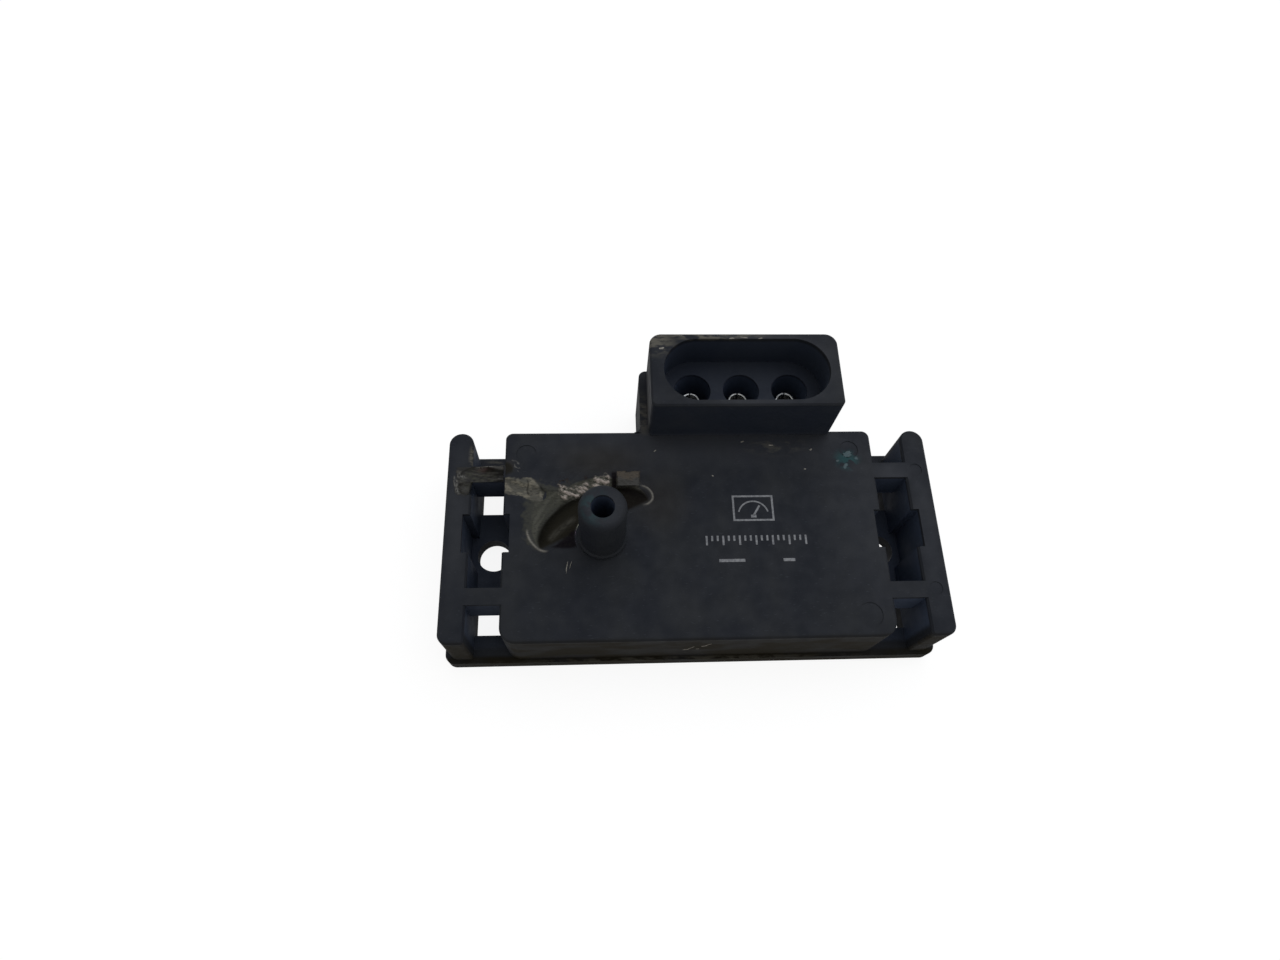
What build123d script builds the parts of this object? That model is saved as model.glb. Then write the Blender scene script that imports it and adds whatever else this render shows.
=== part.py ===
"""Manifold absolute pressure sensor: moulded housing, connector pins, sensing cell and circuit plate.

Millimetres. X runs along the length, Y away from the near long wall to the connector, Z up out of the
underside. The origin is the middle between the two screw holes, on the underside.
"""
from build123d import *
import os

# Base plate, a little proud of the rails and of the body
BASE_LEDGE_X = 0.6
BASE_LEDGE_Y = 0.65
BASE_THICK = 3.0
BASE_CORNER_R = 1.6

# Box-shaped body
BODY_LENGTH = 62.1
BODY_WIDTH = 35.7
BODY_TOP = 14.9
BODY_NEAR_R = 2.6
BODY_FAR_R = 1.2
WALL = 2.2
ROOF = 3.0
TOP_EDGE = 0.3

# Rails, crossbars and screw pockets at both ends
POCKET_GAP = 5.3
RAIL_THICK = 4.05
RAIL_NEAR_R = 1.7
RAIL_INNER_R = 0.5
RAIL_FOOT_R = 0.9
RAIL_TIP_FLAT = 0.02
CROSSBAR_WIDTH = 2.7
CROSSBAR_HEIGHT = 6.9
END_GAP = 6.1
NOTCH_LENGTH = 6.5
NOTCH_INTO_BODY = 1.1
NOTCH_INTO_RAIL = 1.2
WINDOW_INSIDE_CROSSBAR = 1.45
WINDOW_BEYOND_CROSSBAR = 2.15
SCREW_HOLE_R = 2.8

# Hose nipple
NIPPLE_FROM_LEFT = 16.05
NIPPLE_Y = -0.8
NIPPLE_R = 3.68
NIPPLE_HEIGHT = 13.2
NIPPLE_BORE_R = 1.8
NIPPLE_FOOT_STEP = 0.32
NIPPLE_FOOT_LAND = 0.02
NIPPLE_FOOT_HEIGHT = 1.2
NIPPLE_TIP_ROUND = 0.5

# Connector block behind the far wall
PIN_ROW_X = 8.8
PIN_PITCH = 8.3
PIN_COUNT = 3
MOUTH_LENGTH = 27.3
MOUTH_WIDTH = 11.4
MOUTH_DEPTH = 7.2
SHROUD_INTO_BODY = 0.75
SHROUD_LEFT_WALL = 2.2
SHROUD_RIGHT_WALL = 1.7
SHROUD_NEAR_WALL = 1.0
SHROUD_FAR_WALL = 1.05
SHROUD_RISE = 10.8
SHROUD_UNDERSIDE = 0.8
SHROUD_FAR_R = 2.0
SHROUD_NEAR_R = 0.9
WELL_R = 3.1
WELL_DEPTH = 10.0
PAD_STEP = 1.3
PAD_BACK_STEP = 0.8
PAD_CORNER_R = 1.2
PAD_ROOT_R = 1.0

# Terminals
PIN_R = 1.7
PIN_WALL = 0.42
PIN_BELOW_SHELF = 3.7
PIN_SEAM = 0.25
STRIP_WIDTH = 2.4
STRIP_THICK = 0.6
STRIP_COVER = 0.7
LEDGE_WIDTH = 2.5
LEDGE_SIDE = 1.8
STRIP_SHORT_OF_LEDGE = 0.2

# Cover on the underside
REBATE_WIDTH = 1.1
COVER_THICK = 1.5
COVER_RECESS = 0.4
SEAL_GAP = 0.5
COVER_RIB_HEIGHT = 1.2
COVER_RIB_THICK = 1.2

# Circuit plate, hung under the roof
PLATE_LEFT_GAP = 3.7
PLATE_RIGHT_GAP = 9.7
PLATE_NEAR_GAP = 4.4
PLATE_FAR_GAP = 1.9
PLATE_THICK = 0.8
PLATE_PORT_R = 0.8
PORT_BOSS_RIM = 0.2
PORT_BOSS_HEIGHT = 1.0
PORT_SEAL_THICK = 0.6
PORT_SEAL_CLEAR = 0.5
PORT_SEAL_WIDTH = 1.6
BOND_R = 1.8
BOND_THICK = 0.3
BOND_INSET_X = 3.0
BOND_INSET_Y = 3.0
POST_R = 2.2

# Sensing cell
PEDESTAL_SIDE = 3.4
PEDESTAL_HEIGHT = 1.2
PEDESTAL_PORT_R = 0.5
DIE_SIDE = 2.6
DIE_THICK = 0.4
DIE_CAVITY_SIDE = 1.3
DIE_CAVITY_DEPTH = 0.3
CAP_SIDE = 1.5
CAP_THICK = 0.3
CAP_VOID_SIDE = 1.0
CAP_VOID_DEPTH = 0.12
CELL_COVER_R = 4.6
CELL_COVER_WALL = 0.3
CELL_COVER_END = 0.5
CELL_COVER_HEIGHT = 3.4
CELL_COVER_ROUND = 0.6
DIE_WIRE_R = 0.06
DIE_WIRE_DROP = 0.35
DIE_WIRE_PITCH = 1.0
DIE_WIRE_LANDING = 3.0

# Parts soldered and printed on the circuit plate
CHIP_FROM_NIPPLE = 15.0
CHIP_FROM_MIDDLE = -3.0
CHIP_LENGTH = 5.0
CHIP_WIDTH = 3.9
CHIP_HEIGHT = 1.5
CHIP_STANDOFF = 0.15
CHIP_LEAD_PITCH = 1.27
CHIP_LEAD_WIDTH = 0.42
CHIP_LEAD_THICK = 0.2
CHIP_LEAD_REACH = 1.05
CHIP_LEAD_INSIDE = 0.3
CHIP_LEADS_PER_SIDE = 4
CAPACITOR_LENGTH = 2.0
CAPACITOR_WIDTH = 1.25
CAPACITOR_HEIGHT = 0.9
CAPACITOR_END = 0.4
CAPACITOR_STEP = 0.06
CAPACITOR_FROM_CHIP = 9.5
CAPACITOR_FROM_MIDDLE = -6.5
CAPACITOR_PITCH = 4.0
CAPACITOR_COUNT = 3
RESISTOR_LENGTH = 3.0
RESISTOR_WIDTH = 1.6
RESISTOR_THICK = 0.12
RESISTOR_CUT = 0.15
RESISTOR_CUT_REACH = 0.9
RESISTOR_FROM_CHIP = -7.5
RESISTOR_FROM_EDGE = 4.6
RESISTOR_PITCH = 4.2
RESISTOR_COUNT = 4
TERMINAL_WIRE_R = 0.15
TERMINAL_WIRE_DROP = 1.1
TERMINAL_WIRE_BEND = 0.7
TERMINAL_WIRE_START = 0.9
TERMINAL_WIRE_LANDING = 1.3

# Hot-tool damage by the nipple: a hollow with sloped banks, deepest far left, and a flap torn up beside it
HOLLOW_FROM_NIPPLE_X = -0.9
HOLLOW_FROM_NIPPLE_Y = 1.5
HOLLOW_TURN = 25.0
HOLLOW_TILT = 11.0
HOLLOW_LONG_R = 9.7
HOLLOW_SHORT_R = 6.9
HOLLOW_FLARE = 2.0
HOLLOW_HEIGHT = 4.0
HOLLOW_CLEAR_OF_NIPPLE = 0.3
FLAP_FROM_NIPPLE_X = 4.3
FLAP_FROM_NIPPLE_Y = 9.9
FLAP_LENGTH = 3.6
FLAP_WIDTH = 2.5
FLAP_RISE = 0.3

# Hot-tool damage at the left end: a furrow from the crossbar to the hollow, and two sunken places beside it
FURROW_START_BEYOND_BODY = 2.0
FURROW_START_NEAR_CROSSBAR = 1.5
FURROW_END_FROM_NIPPLE_X = -9.6
FURROW_END_FROM_NIPPLE_Y = 7.1
FURROW_R = 2.0
FURROW_DEPTH = 0.5
# A sunken place: inward of the rail's inner face, near of the crossbar's middle, two half sizes, depth
MELTS = ((1.0, 0.9, 3.3, 2.1, 0.7), (-0.7, 2.4, 1.5, 1.4, 2.6))

# Ejector-pin marks on the body: which end and side, insets from them, radius
BODY_MARKS = ((-1, 1, 3.5, 4.0, 1.7), (1, 1, 3.9, 3.6, 1.6), (1, -1, 4.1, 3.45, 2.0))
# Those on the right rail, one by each crossbar: inset from the rail's outer face, radius, shifts along it
RAIL_MARK_INSET = 2.25
RAIL_MARK_R = 1.1
RAIL_MARK_SHIFTS = (0.1, 0.0)
EJECTOR_DEPTH = 0.12

# Worked out from the sizes above
BODY_HALF = BODY_LENGTH / 2
RAIL_INNER = BODY_HALF + POCKET_GAP
RAIL_SPAN = 2 * (RAIL_INNER + RAIL_THICK)
BASE_LENGTH = RAIL_SPAN + 2 * BASE_LEDGE_X
BASE_WIDTH = BODY_WIDTH + 2 * BASE_LEDGE_Y
POCKET_X = (BODY_HALF + RAIL_INNER) / 2
POCKET_LENGTH = BODY_WIDTH - 2 * (END_GAP + CROSSBAR_WIDTH)
CROSSBAR_Y = (POCKET_LENGTH + CROSSBAR_WIDTH) / 2
WINDOW_INNER = POCKET_LENGTH / 2 - WINDOW_INSIDE_CROSSBAR
WINDOW_OUTER = POCKET_LENGTH / 2 + CROSSBAR_WIDTH + WINDOW_BEYOND_CROSSBAR
NIPPLE_X = NIPPLE_FROM_LEFT - BODY_HALF
NIPPLE_FOOT_R = NIPPLE_R + NIPPLE_FOOT_STEP
CAVITY_LENGTH = BODY_LENGTH - 2 * WALL
CAVITY_WIDTH = BODY_WIDTH - 2 * WALL
CAVITY_TOP = BODY_TOP - ROOF
REBATE_DEPTH = COVER_RECESS + COVER_THICK
REBATE_LENGTH = CAVITY_LENGTH + 2 * REBATE_WIDTH
REBATE_SPAN = CAVITY_WIDTH + 2 * REBATE_WIDTH
SHROUD_NEAR = BODY_WIDTH / 2 - SHROUD_INTO_BODY
PIN_ROW_Y = SHROUD_NEAR + SHROUD_NEAR_WALL + MOUTH_WIDTH / 2
SHROUD_LEFT = PIN_ROW_X - MOUTH_LENGTH / 2 - SHROUD_LEFT_WALL
SHROUD_RIGHT = PIN_ROW_X + MOUTH_LENGTH / 2 + SHROUD_RIGHT_WALL
SHROUD_FAR = PIN_ROW_Y + MOUTH_WIDTH / 2 + SHROUD_FAR_WALL
SHROUD_TOP = BODY_TOP + SHROUD_RISE
SHELF_Z = SHROUD_TOP - MOUTH_DEPTH
WELL_FLOOR = SHELF_Z - WELL_DEPTH
PIN_TIP = SHELF_Z - PIN_BELOW_SHELF
PIN_TIP_ROUND = 0.4 * PIN_WALL
STRIP_TOP = WELL_FLOOR - STRIP_COVER
STRIP_UNDER = STRIP_TOP - STRIP_THICK
LEDGE_NEAR = CAVITY_WIDTH / 2 - LEDGE_WIDTH
STRIP_INNER_END = LEDGE_NEAR + STRIP_SHORT_OF_LEDGE
PORT_SEAL_IN_R = NIPPLE_BORE_R + PORT_SEAL_CLEAR
PORT_SEAL_OUT_R = PORT_SEAL_IN_R + PORT_SEAL_WIDTH
PORT_BOSS_R = PORT_SEAL_OUT_R + PORT_BOSS_RIM
BOSS_UNDER = CAVITY_TOP - PORT_BOSS_HEIGHT
PLATE_LEFT = PLATE_LEFT_GAP - CAVITY_LENGTH / 2
PLATE_RIGHT = CAVITY_LENGTH / 2 - PLATE_RIGHT_GAP
PLATE_NEAR = PLATE_NEAR_GAP - CAVITY_WIDTH / 2
PLATE_FAR = LEDGE_NEAR - PLATE_FAR_GAP
PLATE_MIDDLE_Y = (PLATE_NEAR + PLATE_FAR) / 2
PLATE_TOP = BOSS_UNDER - PORT_SEAL_THICK
PLATE_UNDER = PLATE_TOP - PLATE_THICK
PEDESTAL_UNDER = PLATE_UNDER - PEDESTAL_HEIGHT
DIE_UNDER = PEDESTAL_UNDER - DIE_THICK
CHIP_X = NIPPLE_X + CHIP_FROM_NIPPLE
PIN_NAMES = ("terminal_supply", "terminal_signal", "terminal_ground")
PIN_XS = [PIN_ROW_X + (i - (PIN_COUNT - 1) / 2) * PIN_PITCH for i in range(PIN_COUNT)]
SIDES = (-1, 1)


def prism(sketch, low, high):
    """A flat outline drawn at z = 0, carried straight up from one level to another."""
    return Pos(0, 0, low) * extrude(sketch, high - low)


def block(x0, x1, y0, y1, z0, z1):
    """A plain block between two corners."""
    return Pos((x0 + x1) / 2, (y0 + y1) / 2, (z0 + z1) / 2) * Box(x1 - x0, y1 - y0, z1 - z0)


def rounded_plan(x0, x1, y0, y1, near_left, near_right, far_right, far_left):
    """A rectangle in plan with its own radius at each corner."""
    outline = Pos((x0 + x1) / 2, (y0 + y1) / 2) * Rectangle(x1 - x0, y1 - y0)
    corners = ((x0, y0, near_left), (x1, y0, near_right), (x1, y1, far_right), (x0, y1, far_left))
    for x, y, radius in corners:
        if radius > 0:
            vertex = outline.vertices().sort_by_distance((x, y, 0))[0]
            outline = fillet(vertex, radius)
    return outline


def tube(outer, inner, low, high):
    """A round tube about the Z axis."""
    return prism(Circle(outer) - Circle(inner), low, high)


def at_nipple(shape):
    """Moves a shape from the Z axis to the nipple's axis."""
    return Pos(NIPPLE_X, NIPPLE_Y, 0) * shape


def soften_top(solid, level, size):
    """Takes the sharpness off the outer edges of the face at the given level."""
    face = solid.faces().filter_by(Axis.Z).sort_by(lambda f: abs(f.center().Z - level))[0]
    return chamfer(face.outer_wire().edges(), size)


def body_block():
    """The box-shaped body, solid, with rounded upright corners and softened top edges."""
    outline = rounded_plan(-BODY_HALF, BODY_HALF, -BODY_WIDTH / 2, BODY_WIDTH / 2,
                           BODY_NEAR_R, BODY_NEAR_R, BODY_FAR_R, BODY_FAR_R)
    return soften_top(prism(outline, 0, BODY_TOP), BODY_TOP, TOP_EDGE)


def rail(side):
    """One end rail: round at its far tip, rounded at its outer near corner."""
    tip = (RAIL_THICK - RAIL_TIP_FLAT) / 2
    inner, outer = side * RAIL_INNER, side * RAIL_SPAN / 2
    x0, x1 = min(inner, outer), max(inner, outer)
    near = (RAIL_NEAR_R, RAIL_INNER_R) if side < 0 else (RAIL_INNER_R, RAIL_NEAR_R)
    outline = rounded_plan(x0, x1, -BODY_WIDTH / 2, BODY_WIDTH / 2, near[0], near[1], tip, tip)
    return soften_top(prism(outline, 0, BODY_TOP), BODY_TOP, TOP_EDGE)


def rail_foot(side):
    """The hollow-rounded root between a rail's inner face and the base plate, along the open far end."""
    x = side * RAIL_INNER
    inward = -side * RAIL_FOOT_R
    corner = block(min(x, x + inward), max(x, x + inward), WINDOW_OUTER, BODY_WIDTH / 2 - RAIL_THICK / 2,
                   BASE_THICK, BASE_THICK + RAIL_FOOT_R)
    scoop = Rot(90, 0, 0) * Cylinder(RAIL_FOOT_R, 2 * BASE_WIDTH)
    return corner - Pos(x + inward, 0, BASE_THICK + RAIL_FOOT_R) * scoop


def crossbars(side):
    """The two bars at the top that tie a rail to the body; the mould shuts off through the floor below."""
    x0, x1 = sorted((side * (BODY_HALF - WALL / 2), side * (RAIL_INNER + RAIL_THICK / 2)))
    bars = [
        block(x0, x1, y - CROSSBAR_WIDTH / 2, y + CROSSBAR_WIDTH / 2, BODY_TOP - CROSSBAR_HEIGHT, BODY_TOP)
        for y in (-CROSSBAR_Y, CROSSBAR_Y)
    ]
    return bars[0] + bars[1]


def ear_cuts(side):
    """What is cut from one end: the wide notch down to the floor, the screw hole and the two windows."""
    x0, x1 = sorted((side * (BODY_HALF - NOTCH_INTO_BODY), side * (RAIL_INNER + NOTCH_INTO_RAIL)))
    cuts = block(x0, x1, -NOTCH_LENGTH / 2, NOTCH_LENGTH / 2, BASE_THICK, BODY_TOP + 1)
    cuts += Pos(side * POCKET_X, 0, 0) * Cylinder(SCREW_HOLE_R, 4 * BASE_THICK)
    for end in SIDES:
        y0, y1 = sorted((end * WINDOW_INNER, end * WINDOW_OUTER))
        half = POCKET_GAP / 2
        cuts += block(side * POCKET_X - half, side * POCKET_X + half, y0, y1, -1, BASE_THICK + 1)
    return cuts


def connector_block():
    """The solid block that carries the pins, its shroud and the low pad on its left."""
    shroud = rounded_plan(SHROUD_LEFT, SHROUD_RIGHT, SHROUD_NEAR, SHROUD_FAR,
                          SHROUD_NEAR_R, SHROUD_NEAR_R, SHROUD_FAR_R, SHROUD_FAR_R)
    pad = rounded_plan(SHROUD_LEFT - PAD_STEP, SHROUD_RIGHT - SHROUD_FAR_R,
                       SHROUD_NEAR, SHROUD_FAR - PAD_BACK_STEP, 0, 0, 0, PAD_CORNER_R)
    tall = soften_top(prism(shroud, SHROUD_UNDERSIDE, SHROUD_TOP), SHROUD_TOP, TOP_EDGE)
    return tall + prism(pad, SHROUD_UNDERSIDE, BODY_TOP)


def pad_root():
    """The hollow-rounded corner where the low pad's left side meets the far wall."""
    x, y = SHROUD_LEFT - PAD_STEP, BODY_WIDTH / 2
    corner = Pos(x - PAD_ROOT_R / 2, y + PAD_ROOT_R / 2) * Rectangle(PAD_ROOT_R, PAD_ROOT_R)
    corner -= Pos(x - PAD_ROOT_R, y + PAD_ROOT_R) * Circle(PAD_ROOT_R)
    return prism(corner, SHROUD_UNDERSIDE, BODY_TOP)


def connector_cuts():
    """The stadium-shaped mouth down to its shelf, and one round well for each pin."""
    mouth = Pos(PIN_ROW_X, PIN_ROW_Y) * SlotOverall(MOUTH_LENGTH, MOUTH_WIDTH)
    cuts = prism(mouth, SHELF_Z, SHROUD_TOP + 1)
    for x in PIN_XS:
        cuts += Pos(x, PIN_ROW_Y, 0) * prism(Circle(WELL_R), WELL_FLOOR, SHELF_Z + 1)
    return cuts


def nipple():
    """The hose nipple as a turned form: a low foot ring, a straight shank and a rounded tip."""
    tip = BODY_TOP + NIPPLE_HEIGHT
    shank = fillet(Cylinder(NIPPLE_R, NIPPLE_HEIGHT + ROOF).edges().sort_by(Axis.Z)[-1], NIPPLE_TIP_ROUND)
    shank = Pos(0, 0, tip - (NIPPLE_HEIGHT + ROOF) / 2) * shank
    foot_top = BODY_TOP + NIPPLE_FOOT_HEIGHT
    foot = prism(Circle(NIPPLE_FOOT_R), BODY_TOP - ROOF, foot_top)
    foot = chamfer(foot.edges().sort_by(Axis.Z)[-1], NIPPLE_FOOT_STEP - NIPPLE_FOOT_LAND)
    return at_nipple(shank + foot)


def inner_hollow():
    """The room under the roof, with the wider rebate for the cover at its mouth."""
    room = prism(RectangleRounded(CAVITY_LENGTH, CAVITY_WIDTH, BODY_FAR_R), -1, CAVITY_TOP)
    rebate = prism(RectangleRounded(REBATE_LENGTH, REBATE_SPAN, BODY_FAR_R), -1, REBATE_DEPTH)
    return room + rebate


def roof_bosses():
    """The ring boss round the port, the four posts for the plate and the ledge under the terminal ends."""
    bosses = at_nipple(prism(Circle(PORT_BOSS_R), BOSS_UNDER, CAVITY_TOP + ROOF / 2))
    for x, y in bond_places():
        bosses += Pos(x, y, 0) * prism(Circle(POST_R), PLATE_TOP + BOND_THICK, CAVITY_TOP + ROOF / 2)
    x0 = PIN_XS[0] - STRIP_WIDTH / 2 - LEDGE_SIDE
    x1 = PIN_XS[-1] + STRIP_WIDTH / 2 + LEDGE_SIDE
    bosses += block(x0, x1, LEDGE_NEAR, CAVITY_WIDTH / 2 + WALL / 2, STRIP_TOP, CAVITY_TOP + ROOF / 2)
    return bosses


def ejector_marks():
    """Shallow round prints that the ejector pins left on the top face."""
    places = [(end * (BODY_HALF - from_end), side * (BODY_WIDTH / 2 - from_side), radius)
              for end, side, from_end, from_side, radius in BODY_MARKS]
    places += [(RAIL_SPAN / 2 - RAIL_MARK_INSET, side * CROSSBAR_Y + shift, RAIL_MARK_R)
               for side, shift in zip(SIDES, RAIL_MARK_SHIFTS)]
    plan = Sketch()
    for x, y, radius in places:
        plan += Pos(x, y) * Circle(radius)
    return prism(plan, BODY_TOP - EJECTOR_DEPTH, BODY_TOP + 1)


def half_ellipse(long_r, short_r, level):
    """Half an ellipse with its straight edge along X, drawn at a level."""
    arc = EllipticalCenterArc((0, 0), long_r, short_r, 0, arc_size=180)
    return Pos(0, 0, level) * make_face(Curve() + [arc, Line(arc @ 1, arc @ 0)])


def hollow_cut():
    """The tilted hollow: half an ellipse with flared sides, dipping away from its straight near edge."""
    spread = HOLLOW_HEIGHT * HOLLOW_FLARE
    tool = loft([half_ellipse(HOLLOW_LONG_R, HOLLOW_SHORT_R, 0),
                 half_ellipse(HOLLOW_LONG_R + spread, HOLLOW_SHORT_R + spread, HOLLOW_HEIGHT)])
    tool = Rot(0, 0, HOLLOW_TURN) * Rot(-HOLLOW_TILT, 0, 0) * tool
    tool = at_nipple(Pos(HOLLOW_FROM_NIPPLE_X, HOLLOW_FROM_NIPPLE_Y, BODY_TOP) * tool)
    keep = at_nipple(prism(Circle(NIPPLE_FOOT_R + HOLLOW_CLEAR_OF_NIPPLE), 0, BODY_TOP + NIPPLE_HEIGHT))
    return tool - keep


def torn_flap():
    """The flap that the tool tore up beside the hollow: it stands a little above the top face."""
    x, y = FLAP_FROM_NIPPLE_X, FLAP_FROM_NIPPLE_Y
    flap = prism(Pos(x, y) * Rectangle(FLAP_LENGTH, FLAP_WIDTH), CAVITY_TOP + ROOF / 2, BODY_TOP + FLAP_RISE)
    return at_nipple(soften_top(flap, BODY_TOP + FLAP_RISE, FLAP_RISE / 2))


def furrow_cut():
    """A round-bottomed furrow from over the left far crossbar to the hollow."""
    lift = BODY_TOP + FURROW_R - FURROW_DEPTH
    start = Vector(-BODY_HALF - FURROW_START_BEYOND_BODY, CROSSBAR_Y - FURROW_START_NEAR_CROSSBAR, lift)
    end = Vector(NIPPLE_X + FURROW_END_FROM_NIPPLE_X, NIPPLE_Y + FURROW_END_FROM_NIPPLE_Y, lift)
    return sweep(Plane(origin=start, z_dir=end - start) * Circle(FURROW_R), Line(start, end))


def melt_cuts():
    """The sunken places where the left rail and its far crossbar melted, as halves of flat ellipsoids."""
    cuts = Part()
    for inward, near, half_length, half_width, depth in MELTS:
        bowl = scale(Sphere(1), (half_length, half_width, depth))
        cuts += Pos(inward - RAIL_INNER, CROSSBAR_Y - near, BODY_TOP) * bowl
    return cuts


def housing():
    """The whole black moulding, with the terminals' beds and the damage cut into it."""
    base = prism(RectangleRounded(BASE_LENGTH, BASE_WIDTH, BASE_CORNER_R), 0, BASE_THICK)
    solid = base + body_block() + connector_block() + pad_root()
    for side in SIDES:
        solid += rail(side)
        solid += crossbars(side)
        solid += rail_foot(side)
    for side in SIDES:
        solid -= ear_cuts(side)
    solid -= furrow_cut()
    solid -= melt_cuts()
    solid -= hollow_cut()
    solid += torn_flap()
    solid -= ejector_marks()
    solid -= inner_hollow()
    solid += roof_bosses()
    solid += nipple()
    solid -= at_nipple(Cylinder(NIPPLE_BORE_R, 4 * BODY_TOP))
    solid -= connector_cuts()
    for x in PIN_XS:
        solid -= terminal_bed(x)
    return solid


def strip(x):
    """A terminal's flat strip, from its bonding end in the housing to under its pin."""
    far = PIN_ROW_Y + PIN_R
    plan = rounded_plan(x - STRIP_WIDTH / 2, x + STRIP_WIDTH / 2, STRIP_INNER_END, PIN_ROW_Y, 0, 0, 0, 0)
    plan += Pos(x, PIN_ROW_Y) * Circle(far - PIN_ROW_Y)
    return prism(plan, STRIP_UNDER, STRIP_TOP)


def terminal_bed(x):
    """The room that one terminal takes in the moulding."""
    return strip(x) + Pos(x, PIN_ROW_Y, 0) * prism(Circle(PIN_R), STRIP_TOP, WELL_FLOOR)


def terminal(x):
    """One terminal: a rolled round pin with its seam, standing on a flat strip."""
    pin = tube(PIN_R, PIN_R - PIN_WALL, STRIP_TOP, PIN_TIP)
    pin = fillet(pin.edges().group_by(Axis.Z)[-1], PIN_TIP_ROUND)
    pin -= block(-PIN_SEAM / 2, PIN_SEAM / 2, 0, PIN_R + 1, WELL_FLOOR, PIN_TIP + 1)
    return strip(x) + Pos(x, PIN_ROW_Y, 0) * pin


def cover_plan():
    """The outline of the underside's cover: the rebate, less the gap that the adhesive fills."""
    return RectangleRounded(REBATE_LENGTH - 2 * SEAL_GAP, REBATE_SPAN - 2 * SEAL_GAP, BODY_FAR_R - SEAL_GAP)


def base_cover():
    """The plate that closes the underside, with two stiffening ribs on its inner face."""
    cover = prism(cover_plan(), COVER_RECESS, REBATE_DEPTH)
    for y in (-CAVITY_WIDTH / 4, CAVITY_WIDTH / 4):
        rib = Pos(0, y) * Rectangle(CAVITY_LENGTH - 4 * REBATE_WIDTH, COVER_RIB_THICK)
        cover += prism(rib, REBATE_DEPTH, REBATE_DEPTH + COVER_RIB_HEIGHT)
    return cover


def cover_seal_bead():
    """The ring of adhesive between the cover's edge and the housing's rebate."""
    ring = RectangleRounded(REBATE_LENGTH, REBATE_SPAN, BODY_FAR_R) - cover_plan()
    return prism(ring, COVER_RECESS, REBATE_DEPTH)


def bond_places():
    """The four places where adhesive holds the circuit plate."""
    xs = (PLATE_LEFT + BOND_INSET_X, PLATE_RIGHT - BOND_INSET_X)
    ys = (PLATE_NEAR + BOND_INSET_Y, PLATE_FAR - BOND_INSET_Y)
    return [(x, y) for y in ys for x in xs]


def circuit_substrate():
    """The ceramic plate, with the small port hole under the nipple."""
    plan = rounded_plan(PLATE_LEFT, PLATE_RIGHT, PLATE_NEAR, PLATE_FAR, 0, 0, 0, 0)
    plan -= Pos(NIPPLE_X, NIPPLE_Y) * Circle(PLATE_PORT_R)
    return prism(plan, PLATE_UNDER, PLATE_TOP)


def glass_pedestal():
    """The square glass foot of the cell, drilled through for the pressure."""
    return at_nipple(prism(Rectangle(PEDESTAL_SIDE, PEDESTAL_SIDE) - Circle(PEDESTAL_PORT_R),
                           PEDESTAL_UNDER, PLATE_UNDER))


def sensing_die():
    """The silicon die, etched from the pressure side to a thin diaphragm."""
    die = prism(Rectangle(DIE_SIDE, DIE_SIDE), DIE_UNDER, PEDESTAL_UNDER)
    cavity = Rectangle(DIE_CAVITY_SIDE, DIE_CAVITY_SIDE)
    return at_nipple(die - prism(cavity, PEDESTAL_UNDER - DIE_CAVITY_DEPTH, PEDESTAL_UNDER))


def vacuum_cap():
    """The silicon cap that keeps the reference vacuum over the diaphragm."""
    cap = prism(Rectangle(CAP_SIDE, CAP_SIDE), DIE_UNDER - CAP_THICK, DIE_UNDER)
    cap -= prism(Rectangle(CAP_VOID_SIDE, CAP_VOID_SIDE), DIE_UNDER - CAP_VOID_DEPTH, DIE_UNDER)
    return at_nipple(cap)


def cell_cover():
    """The thin drawn can over the sensing cell."""
    can = prism(Circle(CELL_COVER_R), PLATE_UNDER - CELL_COVER_HEIGHT, PLATE_UNDER)
    can = fillet(can.edges().sort_by(Axis.Z)[0], CELL_COVER_ROUND)
    can -= prism(Circle(CELL_COVER_R - CELL_COVER_WALL), PLATE_UNDER - CELL_COVER_HEIGHT + CELL_COVER_END,
                 PLATE_UNDER + 1)
    return at_nipple(can)


def hanging_wire(points, radius, bend):
    """A round wire along level and upright runs joined by arcs, flat at both ends."""
    path = FilletPolyline(*points, radius=bend)
    section = Plane(origin=points[0], z_dir=Vector(*points[1]) - Vector(*points[0])) * Circle(radius)
    return sweep(section, path)


def die_wires():
    """Four fine wires from the die's edges to the circuit plate."""
    wires = []
    low = DIE_UNDER - DIE_WIRE_DROP
    start = (CAP_SIDE + DIE_SIDE) / 4
    for side in SIDES:
        for y in (-DIE_WIRE_PITCH / 2, DIE_WIRE_PITCH / 2):
            points = [(side * start, y, DIE_UNDER), (side * start, y, low),
                      (side * DIE_WIRE_LANDING, y, low), (side * DIE_WIRE_LANDING, y, PLATE_UNDER)]
            wires.append(at_nipple(hanging_wire(points, DIE_WIRE_R, DIE_WIRE_DROP / 2)))
    return Compound(children=wires)


def terminal_wire(x):
    """The thick wire from a terminal's inner end to the circuit plate."""
    low = STRIP_UNDER - TERMINAL_WIRE_DROP
    start, end = STRIP_INNER_END + TERMINAL_WIRE_START, PLATE_FAR - TERMINAL_WIRE_LANDING
    points = [(x, start, STRIP_UNDER), (x, start, low), (x, end, low), (x, end, PLATE_UNDER)]
    return hanging_wire(points, TERMINAL_WIRE_R, TERMINAL_WIRE_BEND)


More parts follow.
